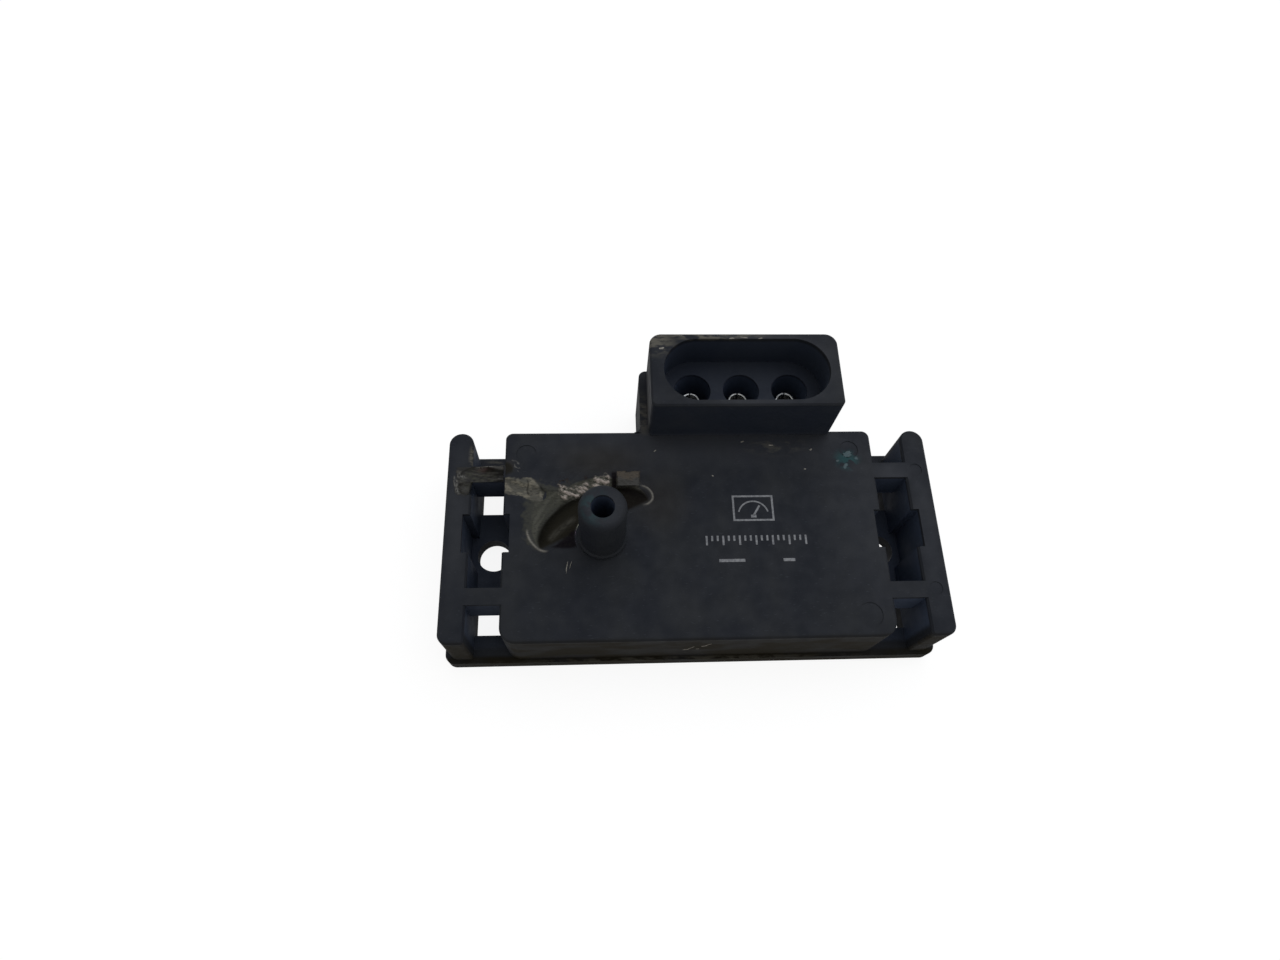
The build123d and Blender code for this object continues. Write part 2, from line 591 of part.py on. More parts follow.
def chip_lead(x, side):
    """One bent lead of the amplifier chip: out of the side, down and flat on the plate."""
    foot = CHIP_WIDTH / 2 + CHIP_LEAD_REACH
    middle = PLATE_UNDER - CHIP_STANDOFF - CHIP_HEIGHT / 2
    knee = CHIP_WIDTH / 2 + CHIP_LEAD_REACH / 2
    arm = block(-CHIP_LEAD_WIDTH / 2, CHIP_LEAD_WIDTH / 2, CHIP_WIDTH / 2 - CHIP_LEAD_INSIDE, knee,
                middle, middle + CHIP_LEAD_THICK)
    leg = block(-CHIP_LEAD_WIDTH / 2, CHIP_LEAD_WIDTH / 2, knee - CHIP_LEAD_THICK, knee, middle, PLATE_UNDER)
    toe = block(-CHIP_LEAD_WIDTH / 2, CHIP_LEAD_WIDTH / 2, knee - CHIP_LEAD_THICK, foot,
                PLATE_UNDER - CHIP_LEAD_THICK, PLATE_UNDER)
    return Pos(x, 0, 0) * Rot(0, 0, 0 if side > 0 else 180) * (arm + leg + toe)


def amplifier_chip():
    """The amplifier: a moulded chip body with its bent leads, mounted on the plate's lower face."""
    high = PLATE_UNDER - CHIP_STANDOFF
    body = prism(Rectangle(CHIP_LENGTH, CHIP_WIDTH), high - CHIP_HEIGHT, high)
    for i in range(CHIP_LEADS_PER_SIDE):
        x = (i - (CHIP_LEADS_PER_SIDE - 1) / 2) * CHIP_LEAD_PITCH
        for side in SIDES:
            body += chip_lead(x, side)
    return Pos(CHIP_X, PLATE_MIDDLE_Y + CHIP_FROM_MIDDLE, 0) * body


def chip_capacitor(index):
    """A chip capacitor: a ceramic middle between two slightly larger end caps."""
    low = PLATE_UNDER - CAPACITOR_HEIGHT
    middle = prism(Rectangle(CAPACITOR_LENGTH, CAPACITOR_WIDTH - 2 * CAPACITOR_STEP), low + CAPACITOR_STEP,
                   PLATE_UNDER - CAPACITOR_STEP)
    for side in SIDES:
        x = side * (CAPACITOR_LENGTH - CAPACITOR_END) / 2
        middle += prism(Pos(x, 0) * Rectangle(CAPACITOR_END, CAPACITOR_WIDTH), low, PLATE_UNDER)
    y = PLATE_MIDDLE_Y + CAPACITOR_FROM_MIDDLE + index * CAPACITOR_PITCH
    return Pos(CHIP_X + CAPACITOR_FROM_CHIP, y, 0) * middle


def trim_resistor(index):
    """A printed resistor patch, with the bent cut that set its value."""
    patch = Rectangle(RESISTOR_LENGTH, RESISTOR_WIDTH)
    patch -= Pos(-RESISTOR_LENGTH / 6, (RESISTOR_CUT_REACH - RESISTOR_WIDTH) / 2) * Rectangle(
        RESISTOR_CUT, RESISTOR_CUT_REACH)
    patch -= Pos(0, RESISTOR_CUT_REACH - RESISTOR_WIDTH / 2) * Rectangle(RESISTOR_LENGTH / 3, RESISTOR_CUT)
    x = CHIP_X + RESISTOR_FROM_CHIP + index * RESISTOR_PITCH
    patch = prism(patch, PLATE_UNDER - RESISTOR_THICK, PLATE_UNDER)
    return Pos(x, PLATE_FAR - RESISTOR_FROM_EDGE, 0) * patch


def pieces():
    """Every piece by its name."""
    made = {
        "housing": housing(),
        "base_cover": base_cover(),
        "cover_seal_bead": cover_seal_bead(),
        "circuit_substrate": circuit_substrate(),
        "port_seal_ring": at_nipple(tube(PORT_SEAL_OUT_R, PORT_SEAL_IN_R, PLATE_TOP, BOSS_UNDER)),
        "glass_pedestal": glass_pedestal(),
        "sensing_die": sensing_die(),
        "vacuum_cap": vacuum_cap(),
        "cell_cover": cell_cover(),
        "die_wires": die_wires(),
        "amplifier_chip": amplifier_chip(),
    }
    for name, x in zip(PIN_NAMES, PIN_XS):
        made[name] = terminal(x)
    for i, x in enumerate(PIN_XS):
        made[f"terminal_wire_{i + 1}"] = terminal_wire(x)
    bond = prism(Circle(BOND_R), PLATE_TOP, PLATE_TOP + BOND_THICK)
    for i, (x, y) in enumerate(bond_places()):
        made[f"substrate_bond_{i + 1}"] = Pos(x, y, 0) * bond
    for i in range(CAPACITOR_COUNT):
        made[f"chip_capacitor_{i + 1}"] = chip_capacitor(i)
    for i in range(RESISTOR_COUNT):
        made[f"trim_resistor_{i + 1}"] = trim_resistor(i)
    return made


os.makedirs("parts", exist_ok=True)
for name, shape in pieces().items():
    export_step(shape, f"parts/{name}.step")
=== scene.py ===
"""Looks of a manifold pressure sensor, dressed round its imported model.

Metres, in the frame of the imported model: X along the length, Y away from the near long wall to the
connector, Z up out of the underside. Sizes in the classes are in millimetres, and MM turns them to metres.
"""
import logging
from dataclasses import dataclass
from enum import Enum
from functools import cached_property, reduce
from typing import Optional, Sequence

import bmesh
import bpy
import numpy as np
from mathutils import Matrix


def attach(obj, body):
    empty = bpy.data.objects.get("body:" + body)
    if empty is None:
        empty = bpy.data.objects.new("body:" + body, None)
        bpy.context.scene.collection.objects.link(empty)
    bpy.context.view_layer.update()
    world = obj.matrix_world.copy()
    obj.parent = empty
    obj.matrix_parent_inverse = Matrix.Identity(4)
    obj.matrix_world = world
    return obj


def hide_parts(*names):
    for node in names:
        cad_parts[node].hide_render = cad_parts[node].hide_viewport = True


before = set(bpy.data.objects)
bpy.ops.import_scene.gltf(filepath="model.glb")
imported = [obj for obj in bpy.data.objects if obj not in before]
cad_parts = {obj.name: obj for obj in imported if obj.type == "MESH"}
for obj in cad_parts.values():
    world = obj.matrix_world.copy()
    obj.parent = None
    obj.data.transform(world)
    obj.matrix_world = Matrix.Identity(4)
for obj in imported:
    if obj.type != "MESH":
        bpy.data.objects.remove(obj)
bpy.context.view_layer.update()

LOG = logging.getLogger("sensor")
MM = 0.001
BODY = "root"
TAU = 2 * np.pi
SLAB_CREASE = 70.0  # in degrees: a slab's sides stay sharp against its top

Array = np.ndarray
Mesh, Piece, Material = bpy.types.Mesh, bpy.types.Object, bpy.types.Material
Node, Socket = bpy.types.Node, bpy.types.NodeSocket
Colour = tuple[float, float, float, float]


class Slot(Enum):
    """Names of the material slots that the scene's sub-assemblies carry."""

    PLASTIC = "moulded_pbt"
    TERMINAL = "tinned_brass"


def linear(code: str) -> Colour:
    """Turns an sRGB hex colour to the linear values that shaders take.

    Args:
        code: the colour as "#rrggbb".

    Returns:
        Linear red, green and blue, and an alpha of 1.
    """
    parts = np.array([int(code[i:i + 2], 16) for i in (1, 3, 5)]) / 255
    low, high = parts / 12.92, ((parts + 0.055) / 1.055) ** 2.4
    red, green, blue = np.where(parts <= 0.04045, low, high)
    return float(red), float(green), float(blue), 1.0


def grey(level: float) -> Colour:
    """A grey of one linear level."""
    return level, level, level, 1.0


def smooth_step(low: float, high: float, value: Array) -> Array:
    """Goes from 0 at low to 1 at high along 3t^2 - 2t^3."""
    t = np.clip((value - low) / (high - low), 0, 1)
    return t * t * (3 - 2 * t)


def ripple(x: Array, y: Array, size: float, seed: int) -> Array:
    """A fixed uneven field from -1 to 1: twenty waves of random heading, length and phase, added up.

    Args:
        x: places along X, in millimetres.
        y: places along Y, in millimetres.
        size: the mean wavelength in millimetres.
        seed: picks the headings, lengths and phases.

    Returns:
        The field at each place.
    """
    count, spread, usual_peak = 20, 0.8, 6
    draw = np.random.default_rng(seed)
    heading, phase = draw.uniform(0, TAU, count), draw.uniform(0, TAU, count)
    wave = TAU / (size * np.exp(draw.uniform(-spread, spread, count)))
    total = np.zeros(np.shape(x))
    for angle, shift, number in zip(heading, phase, wave):
        total = total + np.sin(number * (x * np.cos(angle) + y * np.sin(angle)) + shift)
    return np.clip(total / usual_peak, -1, 1)


def smooth_path(points: Sequence[Sequence[float]], count: int) -> Array:
    """A smooth line through a few points: on each span the Catmull-Rom cubic of its four nearest points.

    Args:
        points: the points, in millimetres.
        count: how many places to return.

    Returns:
        The places, one a row.
    """
    knots = np.array(points, float)
    padded = np.vstack([2 * knots[0] - knots[1], knots, 2 * knots[-1] - knots[-2]])
    share = np.linspace(0, len(knots) - 1, count)
    span = np.minimum(share.astype(int), len(knots) - 2)
    t = (share - span)[:, None]
    a, b, c, d = (padded[span + i] for i in range(4))
    return 0.5 * (2 * b + (c - a) * t + (2 * a - 5 * b + 4 * c - d) * t**2 + (3 * b - a - 3 * c + d) * t**3)


def nearest(path: Array, x: Array, y: Array) -> tuple[Array, Array]:
    """The plan distance from each place to a line of straight spans, and where along it the nearest point is.

    Args:
        path: the line's points, in millimetres.
        x: places along X.
        y: places along Y.

    Returns:
        The distance, and the share of the line's length at the nearest point.
    """
    best, share = np.full(np.shape(x), np.inf), np.zeros(np.shape(x))
    lengths = np.linalg.norm(np.diff(path[:, :2], axis=0), axis=1)
    starts = np.concatenate([[0], np.cumsum(lengths)])
    for start, end, length, before in zip(path[:-1], path[1:], lengths, starts):
        dx, dy = (end[:2] - start[:2]) / length
        t = np.clip((x - start[0]) * dx + (y - start[1]) * dy, 0, length)
        distance = np.hypot(x - start[0] - t * dx, y - start[1] - t * dy)
        closer = distance < best
        best = np.where(closer, distance, best)
        share = np.where(closer, (before + t) / starts[-1], share)
    return best, share


def patch(outline: Sequence[Sequence[float]], x: Array, y: Array, edge: float) -> Array:
    """A soft mask inside a smooth closed outline.

    A place is inside where a line from it towards +X crosses the outline an odd number of times. The mask goes
    from 0, half the edge's width outside, to 1, as far inside.

    Args:
        outline: the outline's points, in millimetres.
        x: places along X.
        y: places along Y.
        edge: the width over which it fades.

    Returns:
        The mask, from 0 to 1.
    """
    corners = smooth_path([*outline, outline[0]], 6 * len(outline))
    off, _ = nearest(corners, x, y)
    inside = np.zeros(np.shape(x), bool)
    for (x0, y0), (x1, y1) in zip(corners[:-1], corners[1:]):
        meets = x0 + (x1 - x0) * (y - y0) / (y1 - y0 if y1 != y0 else 1e-9)
        inside ^= ((y0 > y) != (y1 > y)) & (x < meets)
    return smooth_step(-edge / 2, edge / 2, np.where(inside, off, -off))


class Coat:
    """Tones laid over each other on a grid, and how much of the plain plastic they hide."""

    def __init__(self, shape: tuple[int, ...]) -> None:
        """Starts bare."""
        self.tone = np.zeros((*shape, 3))
        self.amount = np.zeros(shape)

    def lay(self, *layers: tuple[str, Array]) -> None:
        """Lays tones over what is there.

        Args:
            layers: from the lowest up, each tone as "#rrggbb" and how much of it lies at each place, from 0 to 1.
        """
        for code, mask in layers:
            mask = np.clip(mask, 0, 1)
            self.tone = self.tone * (1 - mask[..., None]) + np.array(linear(code)[:3]) * mask[..., None]
            self.amount = self.amount * (1 - mask) + mask

    def write(self, mesh: Mesh) -> None:
        """Writes the tones and amounts to the mesh's first vertices; the others stay bare."""
        tone = np.zeros((len(mesh.vertices), 4), np.float32)
        amount = np.zeros(len(mesh.vertices), np.float32)
        count = self.amount.size
        tone[:count, :3] = (self.tone / np.maximum(self.amount, 1e-3)[..., None]).reshape(-1, 3)
        tone[:, 3] = 1
        amount[:count] = self.amount.ravel()
        mesh.attributes.new("Damage", "FLOAT_COLOR", "POINT").data.foreach_set("color", tone.ravel())
        mesh.attributes.new("Damage_amount", "FLOAT", "POINT").data.foreach_set("value", amount)


def new_mesh(name: str, points: Array, faces: list) -> Mesh:
    """Makes a mesh from points in millimetres and faces that name their corners by number."""
    mesh = bpy.data.meshes.new(name)
    mesh.from_pydata((points.reshape(-1, 3) * MM).tolist(), [], faces)
    return mesh


def join_vertices(mesh: Mesh, reach: float, outwards: bool = False) -> None:
    """Joins a mesh's coinciding vertices.

    Args:
        mesh: the mesh.
        reach: vertices closer than this, in metres, become one.
        outwards: also drops faces thinner than that, and turns all faces outwards.
    """
    work = bmesh.new()
    work.from_mesh(mesh)
    bmesh.ops.remove_doubles(work, verts=work.verts, dist=reach)
    if outwards:
        bmesh.ops.dissolve_degenerate(work, edges=work.edges, dist=reach)
        bmesh.ops.recalc_face_normals(work, faces=work.faces)
    work.to_mesh(mesh)
    work.free()


def shade_smooth(mesh: Mesh, crease: Optional[float] = None) -> None:
    """Shades a mesh smooth, but for edges sharper than a crease in degrees, where one is given."""
    mesh.polygons.foreach_set("use_smooth", np.ones(len(mesh.polygons), bool))
    if crease:
        mesh.set_sharp_from_angle(angle=np.radians(crease))


def link(name: str, mesh: Mesh) -> Piece:
    """Puts a mesh into the scene as an object at the origin."""
    thing = bpy.data.objects.new(name, mesh)
    bpy.context.scene.collection.objects.link(thing)
    return thing


def closed_sheet(name: str, points: Array) -> Piece:
    """Makes an object from a grid of points whose columns run round, with a four-sided face between neighbours.

    The points of a row that coincide become one vertex, which closes the poles.

    Args:
        name: the object's name.
        points: the grid, rows by columns by 3, in millimetres.

    Returns:
        The object, linked to the scene.
    """
    rows, columns = points.shape[:2]
    index = np.arange(rows * columns).reshape(rows, columns)
    index = np.hstack([index, index[:, :1]])
    quads = np.stack([index[:-1, :-1], index[:-1, 1:], index[1:, 1:], index[1:, :-1]], -1).reshape(-1, 4)
    mesh = new_mesh(name, points, quads.tolist())
    join_vertices(mesh, 1e-6, outwards=True)
    shade_smooth(mesh)
    return link(name, mesh)


def skin_slab(name: str, x: Array, y: Array, z: Array, coat: Coat, floor: float) -> Piece:
    """Makes a closed slab whose top is a height field, with upright sides and one flat face below.

    Args:
        name: the object's name.
        x: the grid's places along X, rows by columns, in millimetres.
        y: its places along Y.
        z: its heights.
        coat: the tones on the same grid.
        floor: the level of the face below, which lies inside the housing.

    Returns:
        The slab, linked to the scene.
    """
    rows, columns = x.shape
    upper = np.stack([x, y, z], -1).reshape(-1, 3)
    index = np.arange(rows * columns).reshape(rows, columns)
    faces = np.stack([index[:-1, :-1], index[1:, :-1], index[1:, 1:], index[:-1, 1:]], -1).reshape(-1, 4)
    edge = np.concatenate([index[:-1, 0], index[-1, :-1], index[:0:-1, -1], index[0, :0:-1]])
    under = upper[edge] * (1, 1, 0) + (0, 0, floor)
    low = rows * columns + np.arange(len(edge))
    sides = np.stack([edge, low, np.roll(low, -1), np.roll(edge, -1)], -1)
    mesh = new_mesh(name, np.vstack([upper, under]), faces.tolist() + sides.tolist() + [low[::-1].tolist()])
    coat.write(mesh)
    shade_smooth(mesh, SLAB_CREASE)
    return link(name, mesh)


def sunk_rim(height: Array, level: float) -> Array:
    """Lowers the outermost ring of a height field to a level, where it is higher."""
    rim = np.ones(height.shape, bool)
    rim[1:-1, 1:-1] = False
    return np.where(rim, np.minimum(height, level), height)


def smooth_copy(node: str, name: str, crease: float) -> Piece:
    """Copies a node's mesh with its loose triangles joined, smooth but for edges sharper than the crease.

    Args:
        node: the node to copy.
        name: the copy's name.
        crease: the angle in degrees from which an edge stays sharp.

    Returns:
        The copy, which stands for the node.
    """
    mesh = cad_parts[node].data.copy()
    mesh.name = name
    mesh.materials.clear()
    for stale in ("custom_normal", "sharp_edge", "sharp_face"):
        if stale in mesh.attributes:
            mesh.attributes.remove(mesh.attributes[stale])
    join_vertices(mesh, 2e-6)
    shade_smooth(mesh, crease)
    copy = link(name, mesh)
    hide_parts(node)
    return copy


def ride(piece: Piece, finish: Material) -> None:
    """Dresses a piece, puts it on the sensor's one body and reports it."""
    piece.data.materials.clear()
    piece.data.materials.append(finish)
    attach(piece, BODY)
    LOG.info("%s: %d faces, %s", piece.name, len(piece.data.polygons), finish.name)


class SubAssembly:
    """Pieces of the sensor that are built and dressed together."""

    slot = Slot.PLASTIC

    def build(self) -> list[Piece]:
        """Makes the pieces."""
        raise NotImplementedError

    def dress(self, finish: Material) -> None:
        """Builds the pieces and dresses each in the finish."""
        for piece in self.build():
            ride(piece, finish)


class Shading:
    """A node tree in the making, with the object coordinates that its patterns read."""

    def __init__(self, owner: bpy.types.ID) -> None:
        """Starts on the owner's emptied tree."""
        owner.use_nodes = True
        self.tree = owner.node_tree
        self.tree.nodes.clear()

    @cached_property
    def place(self) -> Socket:
        """The object coordinates, in metres."""
        return self.add("TexCoord").outputs["Object"]

    def add(self, kind: str, feeds: Optional[dict] = None, **settings: object) -> Node:
        """Adds one node with its settings and links.

        Args:
            kind: the node's type without "ShaderNode".
            feeds: what its inputs take, by name or number: another node's output, or a value.
            settings: the node's own options, or values of inputs, with underscores for spaces.

        Returns:
            The node.
        """
        node = self.tree.nodes.new("ShaderNode" + kind)
        for key, value in settings.items():
            if hasattr(node, key):
                setattr(node, key, value)
            else:
                node.inputs[key.replace("_", " ")].default_value = value
        for key, value in (feeds or {}).items():
            if isinstance(value, Socket):
                self.tree.links.new(value, node.inputs[key])
            else:
                node.inputs[key].default_value = value
        return node

    def close(self, kind: str, surface: Node) -> None:
        """Adds the output that ends a "Material" or a "World"."""
        self.add("Output" + kind, {"Surface": surface.outputs[0]})

    def layered(self, tone: object, *layers: tuple) -> Socket:
        """Lays tones over a first one, each by its mask; a tone or a mask is a value or a node's output."""
        for mask, over in layers:
            tone = self.add("Mix", {0: mask, 6: tone, 7: over}, data_type="RGBA").outputs[2]
        return tone

    def pattern(self, size: float, detail: float = 3.0, stretch: Sequence[float] = (1, 1, 1)) -> Socket:
        """A soft random field whose features have a real size.

        Args:
            size: the features' size in millimetres.
            detail: how many finer layers lie in it.
            stretch: how much longer the features are along each axis.

        Returns:
            The field's output, from 0 to 1.
        """
        squeezed = self.add("Mapping", {"Vector": self.place}, Scale=[1 / s for s in stretch]).outputs[0]
        return self.add("TexNoise", {"Vector": squeezed}, Scale=1 / (size * MM), Detail=detail).outputs["Fac"]

    def soft_step(self, value: Socket, low: float, high: float, bottom: float = 0.0, top: float = 1.0) -> Socket:
        """Maps a value from the range low to high onto bottom to top, smoothly and clamped."""
        feeds = dict(enumerate((value, low, high, bottom, top)))
        return self.add("MapRange", feeds, interpolation_type="SMOOTHSTEP").outputs[0]

    def times(self, *factors: object) -> Socket:
        """Multiplies values, each a number or another node's output."""
        return reduce(lambda a, b: self.add("Math", {0: a, 1: b}, operation="MULTIPLY").outputs[0], factors)

    def strongest(self, *values: Socket) -> Socket:
        """The greatest of several values at each point."""
        return reduce(lambda a, b: self.add("Math", {0: a, 1: b}, operation="MAXIMUM").outputs[0], values)

    def spot(self, centre: Sequence[float], half: Sequence[float], edge: float, square: bool) -> Socket:
        """A soft-edged mask on the sensor: an ellipsoid, or a box.

        Args:
            centre: its middle, in millimetres.
            half: its half sizes, in millimetres.
            edge: the share of the half sizes over which it fades.
            square: makes it a box.

        Returns:
            The mask's output: 1 inside, 0 outside.
        """
        middle, sizes = [c * MM for c in centre], [h * MM for h in half]
        moved = self.add("VectorMath", {0: self.place, 1: middle}, operation="SUBTRACT").outputs[0]
        scaled = self.add("VectorMath", {0: moved, 1: sizes}, operation="DIVIDE").outputs[0]
        if square:
            size = self.add("VectorMath", {0: scaled}, operation="ABSOLUTE").outputs[0]
            reach = self.strongest(*self.add("SeparateXYZ", {0: size}).outputs)
        else:
            reach = self.add("VectorMath", {0: scaled}, operation="LENGTH").outputs["Value"]
        return self.soft_step(reach, 1.0, 1.0 - edge)

    def places(self, rows: Sequence[tuple], edge: float, square: bool = False) -> Socket:
        """A mask over several spots on the sensor, the strongest at each point.

        Args:
            rows: the spots, each with its middle, half sizes and strength.
            edge: the share of each half size over which it fades.
            square: makes the spots boxes.

        Returns:
            The mask's output.
        """
        return self.strongest(*(self.times(self.spot(centre, half, edge, square), strength)
                                for centre, half, strength in rows))

    def ground(self, shaded: Node, bright: Node, straight: float, in_gloss: float) -> Node:
        """A ground that looks bright where a ray shows it, but lights the sensor as it is shaded.

        Args:
            shaded: the ground's own shader.
            bright: what takes its place in the picture.
            straight: the bright one's share where the ground is seen straight or through glass.
            in_gloss: its share where the ground is seen in a gloss.

        Returns:
            The node that mixes both.
        """
        path = self.add("LightPath").outputs
        seen = self.strongest(self.times(path["Is Camera Ray"], straight),
                              self.times(path["Is Glossy Ray"], in_gloss),
                              self.times(path["Is Transmission Ray"], straight))
        return self.add("MixShader", {0: seen, 1: shaded.outputs[0], 2: bright.outputs[0]})


@dataclass(frozen=True)
class MouldedPbt:
    """Black PBT with glass fibre, injection moulded and years in use.

    It gives the eye a near-black matt skin, a little bluish, with cloudy lighter patches, a fine grain, brown dust
    on the near wall and ledge, a blue-grey painted light in the recesses that lifts their shade, greyer plastic
    where hands and tools reach, the top's far and right parts, the rails and the connector's rim painted lighter as
    painted light, pale rubbed places with painted highlights on the connector's left wall and the base's near lip,
    thin teal paint and a teal painted highlight on the nipple's end. The Damage attributes add the tones of the
    torn, melted and singed plastic, with painted shade in its creases and painted highlights on its beads. The
    patterns' sizes and the reliefs are in millimetres.
    """

    skin: str = "#15181e"
    cloud: str = "#1f2124"
    dust: str = "#201d16"
    painted_recess_light: str = "#3e485b"
    handled_and_lit: str = "#393b40"
    rubbed_and_lit: str = "#5d5a51"
    stain_and_glint: str = "#214547"
    smoke: str = "#211f1c"
    fibre: str = "#43474e"
    speck: str = "#15140f"
    cloud_size: float = 7.0
    dust_size: float = 3.2
    gloss_size: float = 2.5
    blotch_size: float = 1.3
    rub_size: float = 0.9
    grain_size: float = 0.35
    speck_size: float = 0.28
    fibre_size: float = 0.22
    grain_relief: float = 0.03
    speck_relief: float = 0.12
    dusty_wall: tuple[float, float] = (-17.0, -17.8)
    dusty_height: tuple[float, float] = (16.0, 13.0)
    roughness: tuple[float, float] = (0.56, 0.7)
    damage_roughness: tuple[float, float] = (0.42, 0.62)
    dust_roughness: float = 0.85
    dust_shine: float = 0.25
    specular: float = 0.11
    ior: float = 1.55

    def make(self) -> Material:
        """Builds the material: the skin's tones over each other, then the damage's tone, gloss and relief."""
        material = bpy.data.materials.new("moulded glass-filled PBT")
        shade = Shading(material)
        dusty = self.dust_mask(shade)
        amount = shade.add("Attribute", attribute_name="Damage_amount").outputs["Fac"]
        specks = shade.pattern(self.speck_size, 4, (2.0, 1, 1))
        damage = shade.layered(shade.add("Attribute", attribute_name="Damage").outputs["Color"],
                               (shade.soft_step(specks, 0.55, 0.3, 0.0, 0.55), linear(self.speck)))
        colour = shade.layered(linear(self.skin), *self.layers(shade, dusty), (amount, damage))
        # Crevices and singed places are too broken up to shine, and so is dust
        depth = shade.add("RGBToBW", {0: damage}).outputs[0]
        shine = shade.layered(grey(1.0), (amount, shade.soft_step(depth, 0.004, 0.022, 0.1, 1.0)),
                              (dusty, grey(self.dust_shine)))
        rough = shade.layered(shade.soft_step(shade.pattern(self.gloss_size), 0.3, 0.7, *self.roughness),
                              (amount, shade.soft_step(specks, 0.35, 0.65, *self.damage_roughness)),
                              (dusty, grey(self.dust_roughness)))
        bump = shade.add("Bump", {"Height": shade.pattern(self.grain_size, 2)},
                         Strength=0.35, Distance=self.grain_relief * MM)
        fine = shade.add("Bump", {"Height": shade.times(specks, amount), "Normal": bump.outputs[0]},
                         Strength=0.7, Distance=self.speck_relief * MM)
        feeds = {"Base Color": colour, "Roughness": rough, "Normal": fine.outputs[0], "Specular Tint": shine}
        shade.close("Material", shade.add("BsdfPrincipled", feeds, IOR=self.ior, Specular_IOR_Level=self.specular))
        return material

    def layers(self, shade: Shading, dusty: Socket) -> tuple:
        """The tones over the plain skin.

        Args:
            shade: the node tree.
            dusty: the mask of the dust.

        Returns:
            From the lowest up, each layer's mask and tone.
        """
        clouds = shade.soft_step(shade.pattern(self.cloud_size, 4, (1, 1.6, 1)), 0.35, 0.72)
        # The fibres float up as short pale flecks along the flow, drawn coarser than real so that they show
        fibres = shade.soft_step(shade.pattern(self.fibre_size, 1, (3.5, 1, 1)), 0.66, 0.78)
        streaks = shade.soft_step(shade.pattern(self.rub_size, 5, (2.2, 0.8, 1)), 0.42, 0.62)
        blotches = shade.soft_step(shade.pattern(self.blotch_size, 4), 0.4, 0.56)
        # The painted recess light lies thickest on the recesses' walls, which get less light than their floors
        upward = shade.add("SeparateXYZ", {0: shade.add("NewGeometry").outputs["Normal"]}).outputs["Z"]
        on_walls = shade.soft_step(upward, 0.3, 0.9, 1.0, 0.45)
        return tuple((mask, linear(tone)) for mask, tone in (
            (clouds, self.cloud),
            (shade.times(fibres, 0.2), self.fibre),
            (shade.places(HANDLED_AND_LIT_PLACES, 0.8), self.handled_and_lit),
            (shade.places(SMOKED_PLACES, 0.9), self.smoke),
            (shade.times(shade.places(PAINTED_RECESS_LIGHT_PLACES, 0.07, True), on_walls), self.painted_recess_light),
            (dusty, self.dust),
            (shade.times(shade.places(WORN_AND_LIT_PLACES, 0.8), streaks), self.rubbed_and_lit),
            (shade.times(shade.places(STAINED_AND_GLINT_PLACES, 0.8), blotches), self.stain_and_glint),
        ))

    def dust_mask(self, shade: Shading) -> Socket:
        """Brown dust, patchy, on the near wall and the low ledge of the base."""
        spread = shade.add("SeparateXYZ", {0: shade.place}).outputs
        near = shade.soft_step(spread["Y"], *(limit * MM for limit in self.dusty_wall))
        low = shade.soft_step(spread["Z"], *(limit * MM for limit in self.dusty_height))
        patches = shade.soft_step(shade.pattern(self.dust_size, 5, (2.0, 1, 1)), 0.35, 0.62, 0.55, 1.0)
        return shade.times(near, low, patches)


# Recesses of the housing painted with a blue-grey light that lifts their shade: middle, half sizes, strength
PAINTED_RECESS_LIGHT_PLACES = (
    ((-33.7, 0.0, 8.5), (4.4, 16.6, 5.9), 0.45),
    ((33.7, 0.0, 8.5), (4.4, 16.6, 5.9), 0.75),
    ((8.8, 23.8, 14.9), (14.6, 6.2, 10.3), 0.36),
    ((8.8, 23.8, 11.4), (13.0, 4.6, 6.9), 0.9),
    ((8.55, 17.1, 20.2), (16.0, 0.4, 5.2), 0.15),
    ((-15.0, -0.8, 20.3), (2.4, 2.4, 7.5), 1.0),
)
# Where hands and tools reach, and painted light on the top's far and right parts, the rails, the connector's rim
# and the nipple's end: middle, half sizes, strength
HANDLED_AND_LIT_PLACES = (
    ((4.0, 15.5, 14.9), (36.0, 7.0, 1.4), 0.42),
    ((30.0, 2.0, 14.9), (12.0, 22.0, 1.4), 0.22),
    ((10.5, 23.8, 25.9), (17.0, 9.5, 1.3), 1.0),
    ((-38.4, 2.0, 14.9), (2.6, 20.0, 1.4), 0.22),
    ((38.4, 0.0, 14.9), (2.8, 22.0, 1.4), 0.28),
    ((34.0, 10.0, 14.9), (6.0, 3.0, 1.4), 0.45),
    ((-15.0, -0.8, 28.2), (4.6, 4.6, 1.2), 0.28),
)
# Places of wear on the housing, and painted highlights on the connector's left wall and the base's near lip:
# middle, half sizes, strength
WORN_AND_LIT_PLACES = (
    ((-36.3, 13.6, 14.9), (1.0, 3.0, 1.0), 0.8),
    ((-33.7, 15.6, 3.0), (3.4, 4.4, 1.0), 0.75),
    ((-5.8, 29.0, 25.7), (4.2, 3.6, 1.4), 0.8),
    ((3.0, 30.2, 25.7), (12.0, 1.3, 1.0), 1.0),
    # Painted highlight on the connector's left wall
    ((-7.8, 21.0, 17.0), (1.5, 5.6, 10.0), 0.5),
    # Painted highlight along the base's near lip
    ((-2.0, -18.3, 3.0), (40.0, 0.5, 0.8), 0.4),
    ((14.5, 15.0, 14.9), (7.0, 2.4, 0.6), 0.3),
)
# Thin teal paint at the far right corner, and a teal painted highlight on the nipple's end: middle, half sizes,
# strength
STAINED_AND_GLINT_PLACES = (
    ((26.6, 12.4, 14.9), (2.9, 2.6, 0.8), 0.7),
    # A teal painted highlight on the nipple's end
    ((-16.4, -0.9, 28.1), (3.4, 3.8, 0.8), 0.3),
)
